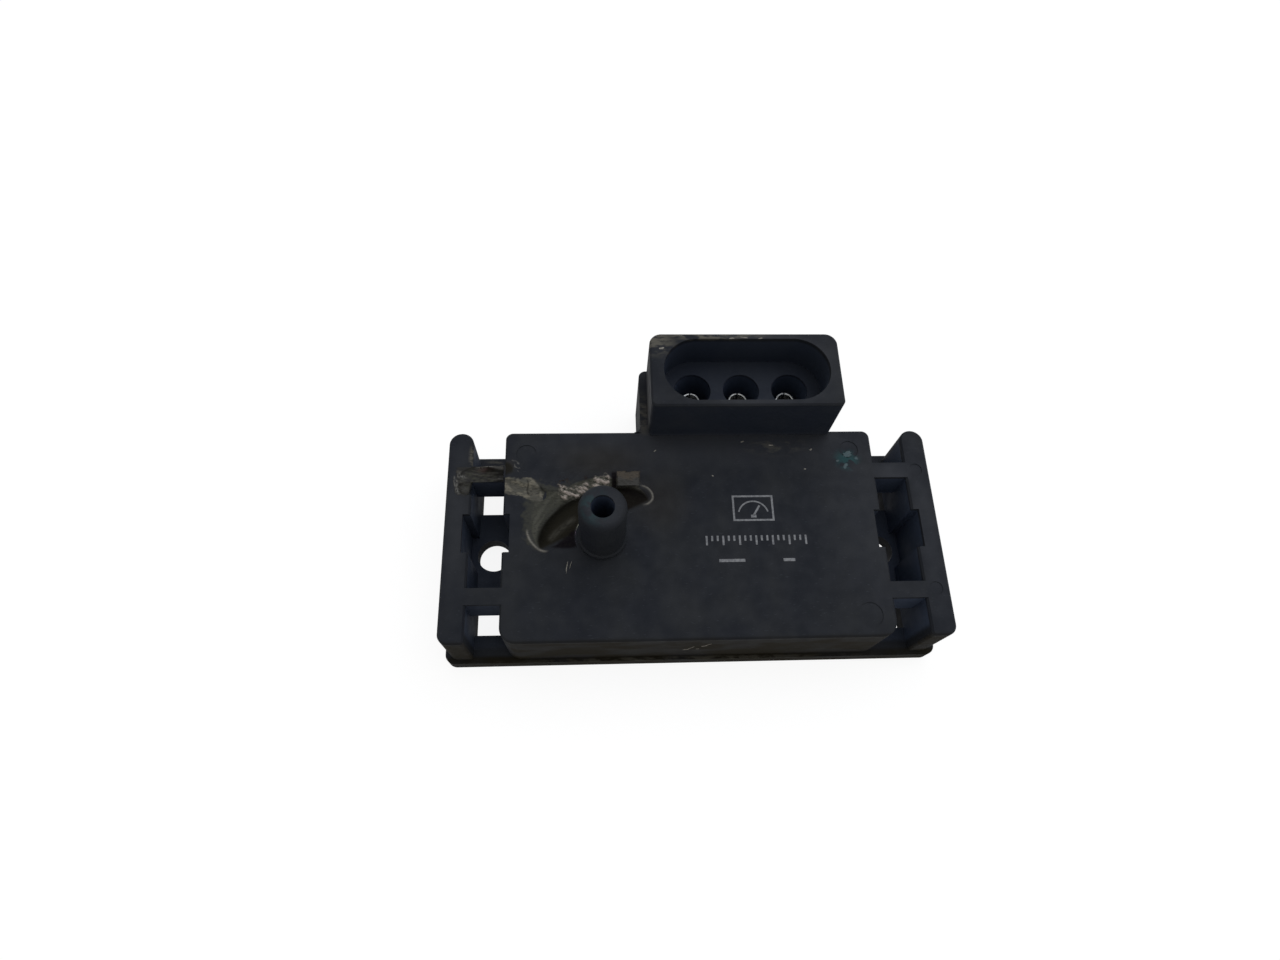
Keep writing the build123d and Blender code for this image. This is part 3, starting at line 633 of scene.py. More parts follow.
# Where the heat left a brown haze on the top face: middle, half sizes, strength
SMOKED_PLACES = (
    ((-15.0, 12.6, 14.9), (11.0, 5.0, 1.2), 0.7),
    ((-5.5, 5.0, 14.9), (7.0, 8.0, 1.2), 0.55),
    ((-30.4, 11.6, 14.9), (1.5, 1.7, 1.0), 0.9),
)


@dataclass(frozen=True)
class PlainFinish:
    """A finish of two tones in a soft pattern of a real size, with its own gloss and relief."""

    name: str
    tone: str
    other: str
    size: float
    roughness: float
    roughness_spread: float = 0.08
    metallic: float = 0.0
    ior: float = 1.5
    relief: float = 0.01
    transmission: float = 0.0
    stretch: tuple[float, float, float] = (1, 1, 1)

    def make(self) -> Material:
        """Builds the material."""
        material = bpy.data.materials.new(self.name)
        shade = Shading(material)
        field = shade.pattern(self.size, 4, self.stretch)
        colour = shade.layered(linear(self.tone), (shade.soft_step(field, 0.35, 0.65), linear(self.other)))
        rough = shade.soft_step(shade.pattern(self.size * 2.3), 0.3, 0.7, self.roughness,
                                self.roughness + self.roughness_spread)
        bump = shade.add("Bump", {"Height": field}, Strength=0.5, Distance=self.relief * MM)
        feeds = {"Base Color": colour, "Roughness": rough, "Normal": bump.outputs[0]}
        shade.close("Material", shade.add("BsdfPrincipled", feeds, Metallic=self.metallic, IOR=self.ior,
                                          Transmission_Weight=self.transmission))
        return material


# Cured silicone: soft satin black, a little cloudy
SILICONE = PlainFinish("silicone rubber", "#1c1d1e", "#2a2b2c", 1.5, 0.45, ior=1.41)
# Brass drawn and rolled, with a thin tin coat that has gone dull and grey
TINNED_BRASS = PlainFinish("tinned brass", "#b4b5b4", "#8d8d89", 0.8, 0.32, 0.16, 1.0, relief=0.006)
# Fired alumina: warm white, faintly speckled, matt
ALUMINA = PlainFinish("fired alumina", "#e4e0d4", "#d3cec0", 0.5, 0.55, ior=1.76)
# Borosilicate glass, ground on its faces
CELL_GLASS = PlainFinish("borosilicate glass", "#dfe7e6", "#cfd9d8", 0.8, 0.12, ior=1.47, transmission=0.6)
# Polished silicon: dark blue-grey mirror
SILICON = PlainFinish("polished silicon", "#4c5057", "#5a5f66", 0.6, 0.15, metallic=1.0, relief=0.002)
# Deep-drawn tinned steel: bright, with faint drawing marks up its side
TINNED_STEEL = PlainFinish("tinned steel", "#b9bab8", "#9a9b99", 0.7, 0.24, metallic=1.0, stretch=(1, 1, 6))
# Drawn aluminium wire: bright satin
BOND_WIRE = PlainFinish("aluminium bond wire", "#c9cacb", "#b0b1b3", 0.2, 0.3, metallic=1.0, stretch=(1, 4, 1))
# Moulded epoxy of a chip: charcoal, slightly grainy
EPOXY = PlainFinish("chip epoxy", "#202124", "#2c2d30", 0.3, 0.5, ior=1.55)
# Sintered titanate of a chip capacitor: tan and matt
TITANATE = PlainFinish("capacitor ceramic", "#9c7f5e", "#86694a", 0.3, 0.5, ior=1.8)
# Fired resistor paste: near-black with a greenish cast, slightly glassy
RESISTOR_PASTE = PlainFinish("resistor paste", "#1d2421", "#2b332f", 0.25, 0.35, ior=1.6)
# Matt white pad-printing ink, thin and a little worn
PRINT_INK = PlainFinish("pad-printing ink", "#77787a", "#5c5d60", 0.35, 0.6, ior=1.5)
# A dab of turquoise enamel paint, dried dark and thin at its edges
ENAMEL = PlainFinish("enamel paint", "#1e3a3e", "#182d30", 0.5, 0.4, ior=1.4, relief=0.02)


@dataclass(frozen=True)
class DamageTones:
    """Tones of the plastic where a hot tool tore, smeared and singed it, with painted shade and highlights among
    them:
    the near-black crease tone is painted shade in creases, cracks and between lumps, the singed tone is also
    painted shade beside the nipple and under the flap, and the pale bead tone is a painted highlight on the melted
    beads as well as the real pale of nicks.
    """

    bank: str = "#37372f"
    bank_pale: str = "#54534a"
    furrow: str = "#54524a"
    cream: str = "#757062"
    pale: str = "#aca097"
    floor: str = "#191710"
    floor_pale: str = "#302e26"
    crease: str = "#0d0c08"
    scorch_and_shade: str = "#0d090d"
    rust: str = "#3c2c29"
    flap: str = "#3b3a37"
    smear: str = "#262523"
    smear_pale: str = "#413f3b"
    nick_and_highlight: str = "#86827a"
    crumb: str = "#241a16"
    flap_top: str = "#484138"
    scrape: str = "#6b6a66"


def stroke(points: Sequence[Sequence[float]], half: float, x: Array, y: Array, count: int = 24,
           fade_in: float = 0.2, fade_out: float = 0.2) -> Array:
    """A soft stroke along a smooth line: a bell curve of the distance, fading at the line's ends.

    Args:
        points: the line's points, in millimetres.
        half: the stroke's half width.
        x: places along X.
        y: places along Y.
        count: how many points stand for the line.
        fade_in: the share of the length over which it starts.
        fade_out: the share over which it ends.

    Returns:
        The mask, from 0 to 1.
    """
    off, share = nearest(smooth_path(points, count), x, y)
    return np.exp(-(off / half) ** 2) * smooth_step(0.0, fade_in, share) * smooth_step(1.0, 1 - fade_out, share)


@dataclass
class DamagedSkin(SubAssembly):
    """A skin over damaged ground, with its heights in millimetres over the body's top face.

    In the cuts and at their rims the skin lies just over the same cuts in the housing, and adds torn lumps,
    melted rims and streaks. On plain ground it is sunk just under the housing's face.
    """

    name: str = "skin"
    step: float = 0.1
    floor_level: float = -2.0
    top: float = 14.9
    lift: float = 0.025
    sink: float = 0.05
    tones: DamageTones = DamageTones()

    def grid(self) -> tuple[Array, Array]:
        """The skin's places along X and Y, rows by columns."""
        raise NotImplementedError

    def heights(self, x: Array, y: Array) -> tuple[Array, Coat]:
        """The skin's height over the top face at each place, and its coat of tones."""
        raise NotImplementedError

    def build(self) -> list[Piece]:
        """The skin as a closed slab: the height field on top, and one flat face inside the housing below."""
        x, y = self.grid()
        height, coat = self.heights(x, y)
        height = sunk_rim(height, -self.sink)
        return [skin_slab(self.name, x, y, self.top + height, coat, self.top + self.floor_level)]


@dataclass
class HotToolDamage(DamagedSkin):
    """The tilted hollow round the nipple, the furrow to its left and the flap to its right, as one skin."""

    name: str = "damaged_skin"
    step: float = 0.11
    left_near: float = -28.3
    left_far: float = -30.95
    left_bend: tuple[float, float] = (3.7, 5.6)
    right: float = -5.6
    y_range: tuple[float, float] = (-5.2, 13.0)
    nipple: tuple[float, float] = (-15.0, -0.8)
    keep_r: float = 4.3
    centre: tuple[float, float] = (-15.9, 0.7)
    turn: float = 25.0
    tilt: float = 11.0
    long_r: float = 9.7
    short_r: float = 6.35
    flare: float = 2.4
    cut_short_r: float = 6.9
    cut_flare: float = 2.0
    steep: float = 1.7
    flap: tuple[float, float, float, float] = (-12.5, -8.9, 7.85, 10.35)
    flap_rise: float = 0.33
    flap_crest: float = 0.6
    furrow_start: tuple[float, float] = (-33.05, 8.9)
    furrow_end: tuple[float, float] = (-24.6, 6.3)
    furrow_r: float = 2.0
    furrow_depth: float = 0.5
    # Strokes: their lines' points, and their half widths
    left_bead: tuple = (((-27.2, 0.8), (-26.95, -0.6), (-26.3, -1.8), (-25.3, -2.8), (-24.4, -3.2), (-23.4, -3.25)),
                        0.17)
    right_bead: tuple = (((-8.9, 8.1), (-7.6, 7.6), (-6.8, 6.6), (-6.75, 5.5), (-7.6, 4.7), (-8.6, 4.5)), 0.16)
    cracks: tuple = ((((-27.4, 9.5), (-27.1, 8.4), (-27.3, 7.4), (-26.8, 6.2)), 0.13),
                     (((-25.3, 8.3), (-24.6, 7.3), (-23.8, 6.9)), 0.16))
    floor_streak: tuple = (((-24.0, -1.7), (-22.6, -0.2), (-20.7, 1.6), (-19.0, 3.0)), 0.55)
    # Outlines of patches
    lobe_outline: tuple = ((-31.6, 9.75), (-29.0, 9.5), (-27.6, 9.6), (-26.4, 9.3), (-25.5, 8.1), (-24.9, 6.7),
                           (-25.2, 5.3), (-26.8, 5.7), (-28.5, 6.5), (-31.6, 7.0))
    left_tear: tuple = ((-22.3, 8.2), (-20.6, 7.7), (-19.0, 8.0), (-17.2, 8.6), (-16.6, 8.0), (-18.2, 6.9),
                        (-19.9, 6.1), (-21.6, 6.4))
    right_tear: tuple = ((-16.5, 9.5), (-14.8, 9.9), (-13.7, 9.6), (-13.7, 8.2), (-15.0, 7.9), (-16.6, 8.3))
    # These two outlines mark painted shade beside the nipple and under the flap, over a singe
    left_scorch_shade: tuple = ((-23.2, -2.6), (-21.6, -1.4), (-19.8, 0.1), (-18.4, 1.2), (-17.0, 2.4), (-16.6, 0.2),
                          (-17.7, -1.6), (-18.9, -2.4), (-20.8, -2.8))
    right_scorch_shade: tuple = ((-11.8, 8.0), (-9.2, 7.7), (-7.4, 7.0), (-7.0, 6.0), (-8.0, 5.0), (-9.6, 4.2),
                           (-11.4, 3.4), (-11.9, 5.5))
    corner_singe: tuple = ((-31.6, 12.5), (-30.4, 12.3), (-29.7, 11.5), (-29.9, 10.6), (-31.6, 10.0))
    corner_scrape: tuple = ((-29.9, 12.8), (-28.9, 12.4), (-28.0, 11.4), (-28.3, 10.7), (-29.2, 10.9))
    # Where dark crumbs lie: middle and reach
    crumb_spots: tuple = (((-21.2, 8.9), 1.2), ((-17.9, 9.4), 0.8), ((-26.4, 7.0), 0.7))

    def grid(self) -> tuple[Array, Array]:
        """The skin's places. Its left edge bends round the screw pocket, and each row starts where that edge is."""
        across = np.arange(*self.y_range, self.step)
        left = self.left_near + (self.left_far - self.left_near) * smooth_step(*self.left_bend, across)
        share = np.linspace(0, 1, int((self.right - self.left_far) / self.step))[:, None]
        x = left + (self.right - left) * share
        return x, np.broadcast_to(across, x.shape)

    def local(self, x: Array, y: Array) -> tuple[Array, Array]:
        """Turns places to the hollow's own axes: u along its straight edge, v away from it."""
        c, s = np.cos(np.radians(self.turn)), np.sin(np.radians(self.turn))
        dx, dy = x - self.centre[0], y - self.centre[1]
        return dx * c + dy * s, dy * c - dx * s

    def hollow(self, x: Array, y: Array, short_r: float, flare: float) -> tuple[Array, Array, Array]:
        """The hollow's floor and bank.

        The floor is a plane that falls away from the straight edge. The bank is where an ellipse, growing by
        the flare with its height over the floor, reaches the place; that height is found in a few steps. On
        its far right the bank is steeper than the flare, where torn plastic was pushed up against it.

        Args:
            x: places along X.
            y: places along Y.
            short_r: the ellipse's half width on the floor.
            flare: how fast it grows.

        Returns:
            The height of floor and bank together, the height over the floor at which the bank is met, and how
            far inside the crease the place is.
        """
        u, v = self.local(x, y)
        t = np.radians(self.tilt)
        rise = np.zeros_like(u)
        for _ in range(12):
            across = (v - rise * np.sin(t)) / np.cos(t)
            reach = np.hypot(u / (self.long_r + flare * rise), across / (short_r + flare * rise))
            rise = np.maximum(rise + (reach - 1) * np.hypot(u, across) / flare / np.maximum(reach, 0.2), 0)
        across = (v - rise * np.sin(t)) / np.cos(t)
        inner = (1 - np.hypot(u / self.long_r, v / np.cos(t) / short_r)) * short_r
        steeper = 1 + (self.steep - 1) * smooth_step(-5.5, -2.0, u)
        return -across * np.sin(t) + rise * steeper * np.cos(t), rise, inner

    def furrow(self, x: Array, y: Array) -> tuple[Array, Array]:
        """The furrow's round-bottomed height, and how far outside its edge the place is."""
        off, _ = nearest(np.array([self.furrow_start, self.furrow_end]), x, y)
        inside = np.minimum(off, self.furrow_r * 0.999)
        height = self.furrow_r - self.furrow_depth - np.sqrt(self.furrow_r**2 - inside**2)
        half = np.sqrt(self.furrow_r**2 - (self.furrow_r - self.furrow_depth)**2)
        return np.where(off < self.furrow_r, height, 1.0), off - half

    def beads(self, x: Array, y: Array) -> Array:
        """Thin beads of melted plastic, curled up round the hollow's left and right ends, painted pale as a
        highlight.
        """
        return np.maximum(stroke(*self.left_bead, x, y), 0.8 * stroke(*self.right_bead, x, y))

    def tongue(self, x: Array, y: Array) -> tuple[Array, Array]:
        """The flap: a torn tongue with a crest near its front, sloping down to the hollow and to the far side.

        Args:
            x: places along X.
            y: places along Y.

        Returns:
            Its mask and its height.
        """
        x0, x1, y0, y1 = self.flap
        waver = 0.16 * ripple(x, y, 1.3, 18)
        mask = (smooth_step(x0 - 0.1, x0 + 0.08, x) * smooth_step(x1 + 0.5, x1 - 0.1, x + waver)
                * smooth_step(y0 - 0.12, y0, y) * smooth_step(y1 + 0.35, y1 - 0.05, y + waver))
        front = smooth_step(y0, y0 + 1.15, y)
        back = smooth_step(y1 + 0.2, y0 + 1.3, y)
        crest = self.flap_crest * (1 - 0.5 * smooth_step(x0 + 1.5, x1, x))
        return mask, self.flap_rise + (crest - self.flap_rise) * front * back + 0.03 * ripple(x, y, 0.9, 8)

    def lobe(self, x: Array, y: Array) -> Array:
        """The scraped lobe of the furrow, wider than its groove on the far side."""
        waver = 0.25 * ripple(x, y, 1.2, 51)
        return patch(self.lobe_outline, x + waver, y - waver, 0.5)

    def tears(self, x: Array, y: Array) -> Array:
        """Where the far bank is torn to pale lumps: ragged patches from beside the furrow to the flap."""
        waver = 0.35 * ripple(x, y, 1.1, 61)
        return np.maximum(patch(self.left_tear, x + waver, y + waver, 0.5),
                          patch(self.right_tear, x - waver, y + waver, 0.5))

    def scorch_and_shade(self, x: Array, y: Array) -> Array:
        """Painted shade over a singe: beside the nipple on the floor and top face, and in the hollow under the
        flap.
        """
        waver = 0.3 * ripple(x, y, 2.2, 71)
        return np.maximum(patch(self.left_scorch_shade, x + waver, y, 1.1), 0.55 * patch(self.right_scorch_shade, x, y, 0.7))

    def heights(self, x: Array, y: Array) -> tuple[Array, Coat]:
        """The skin's height and its coat of tones.

        Args:
            x: places along X.
            y: places along Y.

        Returns:
            Height over the top face, and the coat.
        """
        bowl, rise, inner = self.hollow(x, y, self.short_r, self.flare)
        bowl = np.maximum(bowl, self.hollow(x, y, self.cut_short_r, self.cut_flare)[0])
        groove, beside = self.furrow(x, y)
        u, v = self.local(x, y)
        beads, lobe, tears, scorch_and_shade = self.beads(x, y), self.lobe(x, y), self.tears(x, y), self.scorch_and_shade(x, y)
        tongue, tongue_height = self.tongue(x, y)
        from_nipple = np.hypot(x - self.nipple[0], y - self.nipple[1])
        kept = smooth_step(self.keep_r + 0.35, self.keep_r + 0.05, from_nipple)
        cut = np.minimum(0, np.minimum(bowl, groove))
        in_bowl = smooth_step(0.02, 0.2, -bowl) * (1 - kept)
        on_bank = smooth_step(0.0, 0.1, rise) * in_bowl
        on_floor = in_bowl - on_bank
        crease = np.where(rise > 0, np.exp(-(rise / 0.24) ** 2), np.exp(-(np.maximum(inner, 0) / 0.75) ** 2)) \
            * smooth_step(0.3, 2.2, v) * in_bowl

        # Uneven fields: the torn lumps, the flow down the bank, the drag along the floor, and mottling
        shreds = ripple(0.45 * x + 0.25 * y, y + 0.35 * x, 0.75, 7)
        lumps = np.clip(0.55 + 0.5 * shreds + 0.25 * ripple(x, y, 0.45, 14), 0, 1)
        flow = ripple(0.16 * u, 2.2 * rise + 0.1 * ripple(x, y, 2.0, 3), 0.9, 4)
        drag = ripple(0.16 * (x + y), y - x, 0.5, 5)
        mottle = ripple(0.5 * x, y, 0.9, 22)
        relief = (tears * (0.05 + 0.28 * lumps) + on_bank * 0.018 * (1 + flow) + on_floor * 0.02 * (1 + drag)
                  + lobe * (0.05 + 0.045 * (1 + mottle)) + 0.13 * beads)
        crack = np.maximum(*(stroke(*line, x, y) for line in self.cracks))
        relief = relief * (1 - 0.8 * crack)
        height = (cut + relief) * (1 - tongue) + tongue * tongue_height

        # Where the ground is hurt the skin comes up over the housing's face
        ragged = 0.25 * ripple(x, y, 1.4, 23)
        round_bowl = smooth_step(0.8, 0.05, bowl + ragged) * smooth_step(-0.6, 0.2, v)
        round_groove = smooth_step(0.55, 0.05, beside + ragged) * smooth_step(-24.2, -25.0, x)
        hurt = np.maximum.reduce([smooth_step(0.08, -0.02, np.minimum(bowl, groove)), round_bowl, round_groove,
                                  lobe, tears, beads, tongue, scorch_and_shade]) * (1 - kept)
        hurt = smooth_step(0.0, 0.25, hurt)
        height = height * (1 - kept) + hurt * (self.lift + self.sink) - self.sink

        coat, tone = Coat(x.shape), self.tones
        coat.lay(
            (tone.bank, 0.7 * smooth_step(0.2, 1.0, round_bowl) * smooth_step(0.4, 2.0, v)
             * smooth_step(2.0, -4.0, u)),
            (tone.bank, on_bank),
            (tone.bank_pale, on_bank * smooth_step(-0.4, 0.8, flow) * 0.5),
            (tone.floor, on_floor),
            (tone.floor_pale, on_floor * stroke(*self.floor_streak, x, y) * (0.65 + 0.35 * drag)),
            # Painted shade: the crease is darkened near-black
            (tone.crease, 0.97 * crease),
            # Painted shade beside the nipple and under the flap, over a singe
            (tone.scorch_and_shade, 0.9 * smooth_step(0.2, 0.9, scorch_and_shade)),
            (tone.furrow, lobe * (0.9 + 0.1 * mottle)),
            (tone.cream, lobe * smooth_step(-0.1, 0.7, mottle + 0.3 * ripple(0.3 * x, y, 0.35, 33)) * 0.75),
            (tone.bank_pale, tears * 0.9),
            (tone.pale, tears * smooth_step(0.25, 0.95, lumps + 0.15 * drag) * 0.95),
            # Painted shade between the low lumps
            (tone.crease, tears * smooth_step(0.2, 0.0, lumps) * 0.7),
        )
        crumbs = smooth_step(0.2, 0.55, ripple(0.6 * x, y, 0.55, 9))
        for middle, reach in self.crumb_spots:
            near = np.exp(-(np.hypot(x - middle[0], 1.6 * (y - middle[1])) / reach) ** 2)
            coat.lay((tone.crumb, 0.85 * crumbs * near))
            hurt = np.maximum(hurt, smooth_step(0.2, 0.5, crumbs * near))
        singed = patch(self.corner_singe, x, y, 0.8)
        scraped = patch(self.corner_scrape, x, y, 0.8) \
            * smooth_step(0.1, 0.7, ripple(0.8 * (x + y), 0.2 * (x - y), 0.5, 77))
        hurt = np.maximum(hurt, smooth_step(0.1, 0.4, np.maximum(scraped, singed)))
        # A painted shadow: the dark slit between the torn lumps and the flap, where the flap's side lies in shade
        slit_shadow = smooth_step(-13.6, -13.2, x) * smooth_step(-12.45, -12.7, x) * smooth_step(7.6, 8.2, y) \
            * smooth_step(10.7, 10.2, y)
        coat.lay(
            # Painted shade in the cracks
            (tone.crease, 0.75 * crack),
            (tone.floor, 0.8 * singed),
            (tone.scrape, 0.7 * scraped),
            # Painted highlight along the melted beads' rims
            (tone.nick_and_highlight, 0.8 * beads),
            (tone.flap, tongue),
            (tone.flap_top, tongue * smooth_step(8.7, 9.4, y + 0.3 * mottle) * (0.85 + 0.15 * mottle)),
            (tone.scorch_and_shade, 0.95 * slit_shadow),
        )
        coat.amount *= 1 - kept
        return np.maximum(height, hurt * (self.lift + self.sink) - self.sink + cut), coat


@dataclass
class MeltedCorner(DamagedSkin):
    """The far crossbar and rail at the left end, where the plastic ran: streaked, with brown tints and a torn edge.

    It follows the two melted bowls of the housing and lies just over them.
    """

    name: str = "melted_corner"
    floor_level: float = -4.2
    left: float = -39.9
    right: float = -31.12
    far: float = 11.62
    near_bar: float = 9.1
    near_rail: float = 6.0
    rail_inner: float = -36.35
    # The bowls: middle in plan, half sizes and depth
    bowls: tuple = ((-35.35, 9.5, 3.3, 2.1, 0.7), (-37.05, 8.0, 1.5, 1.4, 1.1))
    # The raised pale scrapes: their lines' points, and their half widths
    scrapes: tuple = (
        (((-39.25, 10.3), (-39.2, 9.0), (-38.95, 7.8), (-38.7, 6.6)), 0.13),
        (((-38.9, 9.6), (-38.75, 8.4), (-38.5, 7.2), (-38.35, 6.4)), 0.2),
        (((-38.75, 10.5), (-38.2, 10.0), (-37.2, 9.75)), 0.26),
        (((-38.3, 10.6), (-38.6, 10.0), (-38.5, 9.5)), 0.16),
        (((-36.2, 11.45), (-34.0, 11.5), (-32.2, 11.3)), 0.1),
    )
    lump_line: tuple = ((-33.6, 11.1), (-32.4, 10.7), (-31.2, 10.4))
    lump_half: float = 0.75

    def grid(self) -> tuple[Array, Array]:
        """The skin's places, whose near edge keeps inside the crossbar and the rail."""
        across = np.arange(self.left, self.right, self.step)
        near = self.near_rail + (self.near_bar - self.near_rail) * smooth_step(-37.3, self.rail_inner - 0.1, across)
        share = np.linspace(0, 1, int((self.far - self.near_rail) / self.step))
        return (np.broadcast_to(across[:, None], (len(across), len(share))),
                near[:, None] + (self.far - near[:, None]) * share)

    def heights(self, x: Array, y: Array) -> tuple[Array, Coat]:
        """The melted surface over the top face, and its coat of tones.

        Each bowl is the lower half of an ellipsoid; streaks run along the crossbar.

        Args:
            x: places along X.
            y: places along Y.

        Returns:
            The height and the coat.
        """
        cut = np.zeros(x.shape)
        for middle_x, middle_y, half_x, half_y, depth in self.bowls:
            reach = np.hypot((x - middle_x) / half_x, (y - middle_y) / half_y)
            cut = np.minimum(cut, -depth * np.sqrt(np.maximum(1 - reach**2, 0)))
        streaks = ripple(0.16 * x, y + 0.12 * x, 0.9, 31)
        fine = ripple(0.25 * x, y, 0.32, 32)
        rim = np.maximum.reduce([stroke(*line, x, y, 20, fade_out=0.25) for line in self.scrapes])
        lump = np.exp(-(nearest(smooth_path(self.lump_line, 12), x, y)[0] / self.lump_half) ** 2)
        inside = smooth_step(-39.2, -38.6, x) * smooth_step(6.4, 7.2, y + 0.25 * (x + 38.5))
        relief = inside * (0.06 + 0.05 * streaks + 0.02 * fine) + 0.13 * rim + 0.4 * lump * (1 + 0.3 * streaks)
        hurt = smooth_step(0.0, 0.3, np.maximum(inside, rim))
        height = cut + relief + hurt * (self.lift + self.sink) - self.sink
        coat, tone = Coat(x.shape), self.tones
        coat.lay(
            (tone.smear, 0.9 * inside),
            (tone.smear_pale, inside * smooth_step(0.05, 0.7, streaks + 0.3 * fine)),
            # Painted light: the bowls' deep parts are painted lighter to lift the shade of their depth, the deep
            # second bowl most
            (tone.bank, inside * smooth_step(-0.1, -0.5, cut) * smooth_step(-0.3, 0.5, fine) * 0.8),
            (tone.smear_pale, 0.35 * np.exp(-(np.hypot(x + 37.6, y - 8.2) / 1.2) ** 2)),
            (tone.rust, 0.9 * np.exp(-((x + 34.2) / 1.1) ** 2 - ((y - 11.2) / 0.45) ** 2)),
            (tone.crease, 0.75 * lump),
            (tone.scrape, 0.85 * rim * smooth_step(-0.8, 0.2, ripple(3 * x, y, 0.9, 36))),
        )
        return height, coat


@dataclass
class Housing(SubAssembly):
    """The black moulding: a smooth-shaded copy of its node, with the nipple's end worn rounder."""

    crease: float = 32.0
    nipple: tuple[float, float] = (-15.0, -0.8)
    nipple_r: float = 3.68
    tip: float = 28.1
    node_round: float = 0.5
    worn_round: float = 1.1

    def build(self) -> list[Piece]:
        """Copies the node and rounds the nipple's end."""
        shell = smooth_copy("housing", "housing_shell", self.crease)
        self.wear_tip(shell.data)
        return [shell]

    def wear_tip(self, mesh: Mesh) -> None:
        """Widens the nipple's rounded edge: a place on its arc goes to the same angle of a wider arc.

        Args:
            mesh: the shell's mesh.
        """
        places = np.empty(3 * len(mesh.vertices), np.float32)
        mesh.vertices.foreach_get("co", places)
        places = places.reshape(-1, 3) / MM
        spoke = places[:, :2] - self.nipple
        out = np.hypot(spoke[:, 0], spoke[:, 1])
        arc = np.stack([out - self.nipple_r, places[:, 2] - self.tip], -1) + self.node_round
        on_arc = (np.abs(np.hypot(arc[:, 0], arc[:, 1]) - self.node_round) < 0.01) & (arc > -0.01).all(1)
        wide = arc[on_arc] * self.worn_round / self.node_round - self.worn_round
        places[on_arc, :2] = self.nipple + spoke[on_arc] * ((self.nipple_r + wide[:, :1]) / out[on_arc, None])
        places[on_arc, 2] = self.tip + wide[:, 1]
        mesh.vertices.foreach_set("co", (places * MM).ravel())
        LOG.info("nipple's end rounded at %d vertices", on_arc.sum())


@dataclass
class PrintPlace(SubAssembly):
    """What stands in the place of the print: a plain dial in a frame, a row of ticks and two bars."""

    level: float = 14.9
    thick: float = 0.03
    line: float = 0.32
    bold: float = 0.5
    frame_box: tuple[float, float, float, float] = (6.4, 13.2, 1.5, 6.0)
    dial: tuple[float, float, float] = (9.8, 2.45, 2.5)
    dial_arc: tuple[float, float, int] = (15.0, 165.0, 25)
    hub: tuple[float, float] = (0.45, -0.12)
    needle_turn: float = 58.0
    needle_share: float = 0.82
    ticks: tuple[float, float, int] = (1.8, 18.0, 19)
    tick_y: tuple[float, float] = (-2.6, -1.0)
    tick_cut: float = 0.7
    bars: tuple = ((3.6, 7.8, -5.2), (14.0, 15.9, -5.2))

    def strokes(self) -> Array:
        """Every printed stroke as the two ends of its middle line, and its width."""
        x0, x1, y0, y1 = self.frame_box
        w, h = self.line, self.line / 2
        rows = [(x0, y0 + h, x1, y0 + h, w), (x0, y1 - h, x1, y1 - h, w),
                (x0 + h, y0 + w, x0 + h, y1 - w, w), (x1 - h, y0 + w, x1 - h, y1 - w, w)]
        cx, cy, radius = self.dial
        turn = np.radians(np.linspace(*self.dial_arc))
        arc = np.stack([cx + radius * np.cos(turn), cy + radius * np.sin(turn)], -1)
        rows += [(*a, *b, 0.8 * w) for a, b in zip(arc[:-1], arc[1:])]
        needle, reach = np.radians(self.needle_turn), self.needle_share * radius
        rows += [(cx, cy, cx + reach * np.cos(needle), cy + reach * np.sin(needle), w),
                 (cx - self.hub[0], cy + self.hub[1], cx + self.hub[0], cy + self.hub[1], self.bold)]
        # Every third tick is a long one
        rows += [(x, self.tick_y[0] + (self.tick_cut if i % 3 else 0), x, self.tick_y[1], w)
                 for i, x in enumerate(np.linspace(*self.ticks))]
        return np.array(rows + [(a, y, b, y, self.bold) for a, b, y in self.bars])

    def build(self) -> list[Piece]:
        """All the strokes as thin closed slabs in one mesh.

        A slab's corners are its line's two ends, each moved half the width to both sides, at the lower and the
        upper level.

        Returns:
            The print.
        """
        rows = self.strokes()
        start, end, width = rows[:, 0:2], rows[:, 2:4], rows[:, 4:5]
        along = (end - start) / np.linalg.norm(end - start, axis=1, keepdims=True)
        side = np.stack([-along[:, 1], along[:, 0]], -1) * width / 2
        plan = np.stack([start - side, end - side, end + side, start + side], 1)
        levels = np.repeat([self.level - self.thick, self.level + self.thick], 4)
        points = np.concatenate([np.concatenate([plan, plan], 1),
                                 np.broadcast_to(levels[None, :, None], (len(rows), 8, 1))], -1)
        sides = np.array([[0, 3, 2, 1], [4, 5, 6, 7], [0, 1, 5, 4], [1, 2, 6, 5], [2, 3, 7, 6], [3, 0, 4, 7]])
        faces = (sides[None] + 8 * np.arange(len(rows))[:, None, None]).reshape(-1, 4)
        return [link("plain_print", new_mesh("plain_print", points, faces.tolist()))]


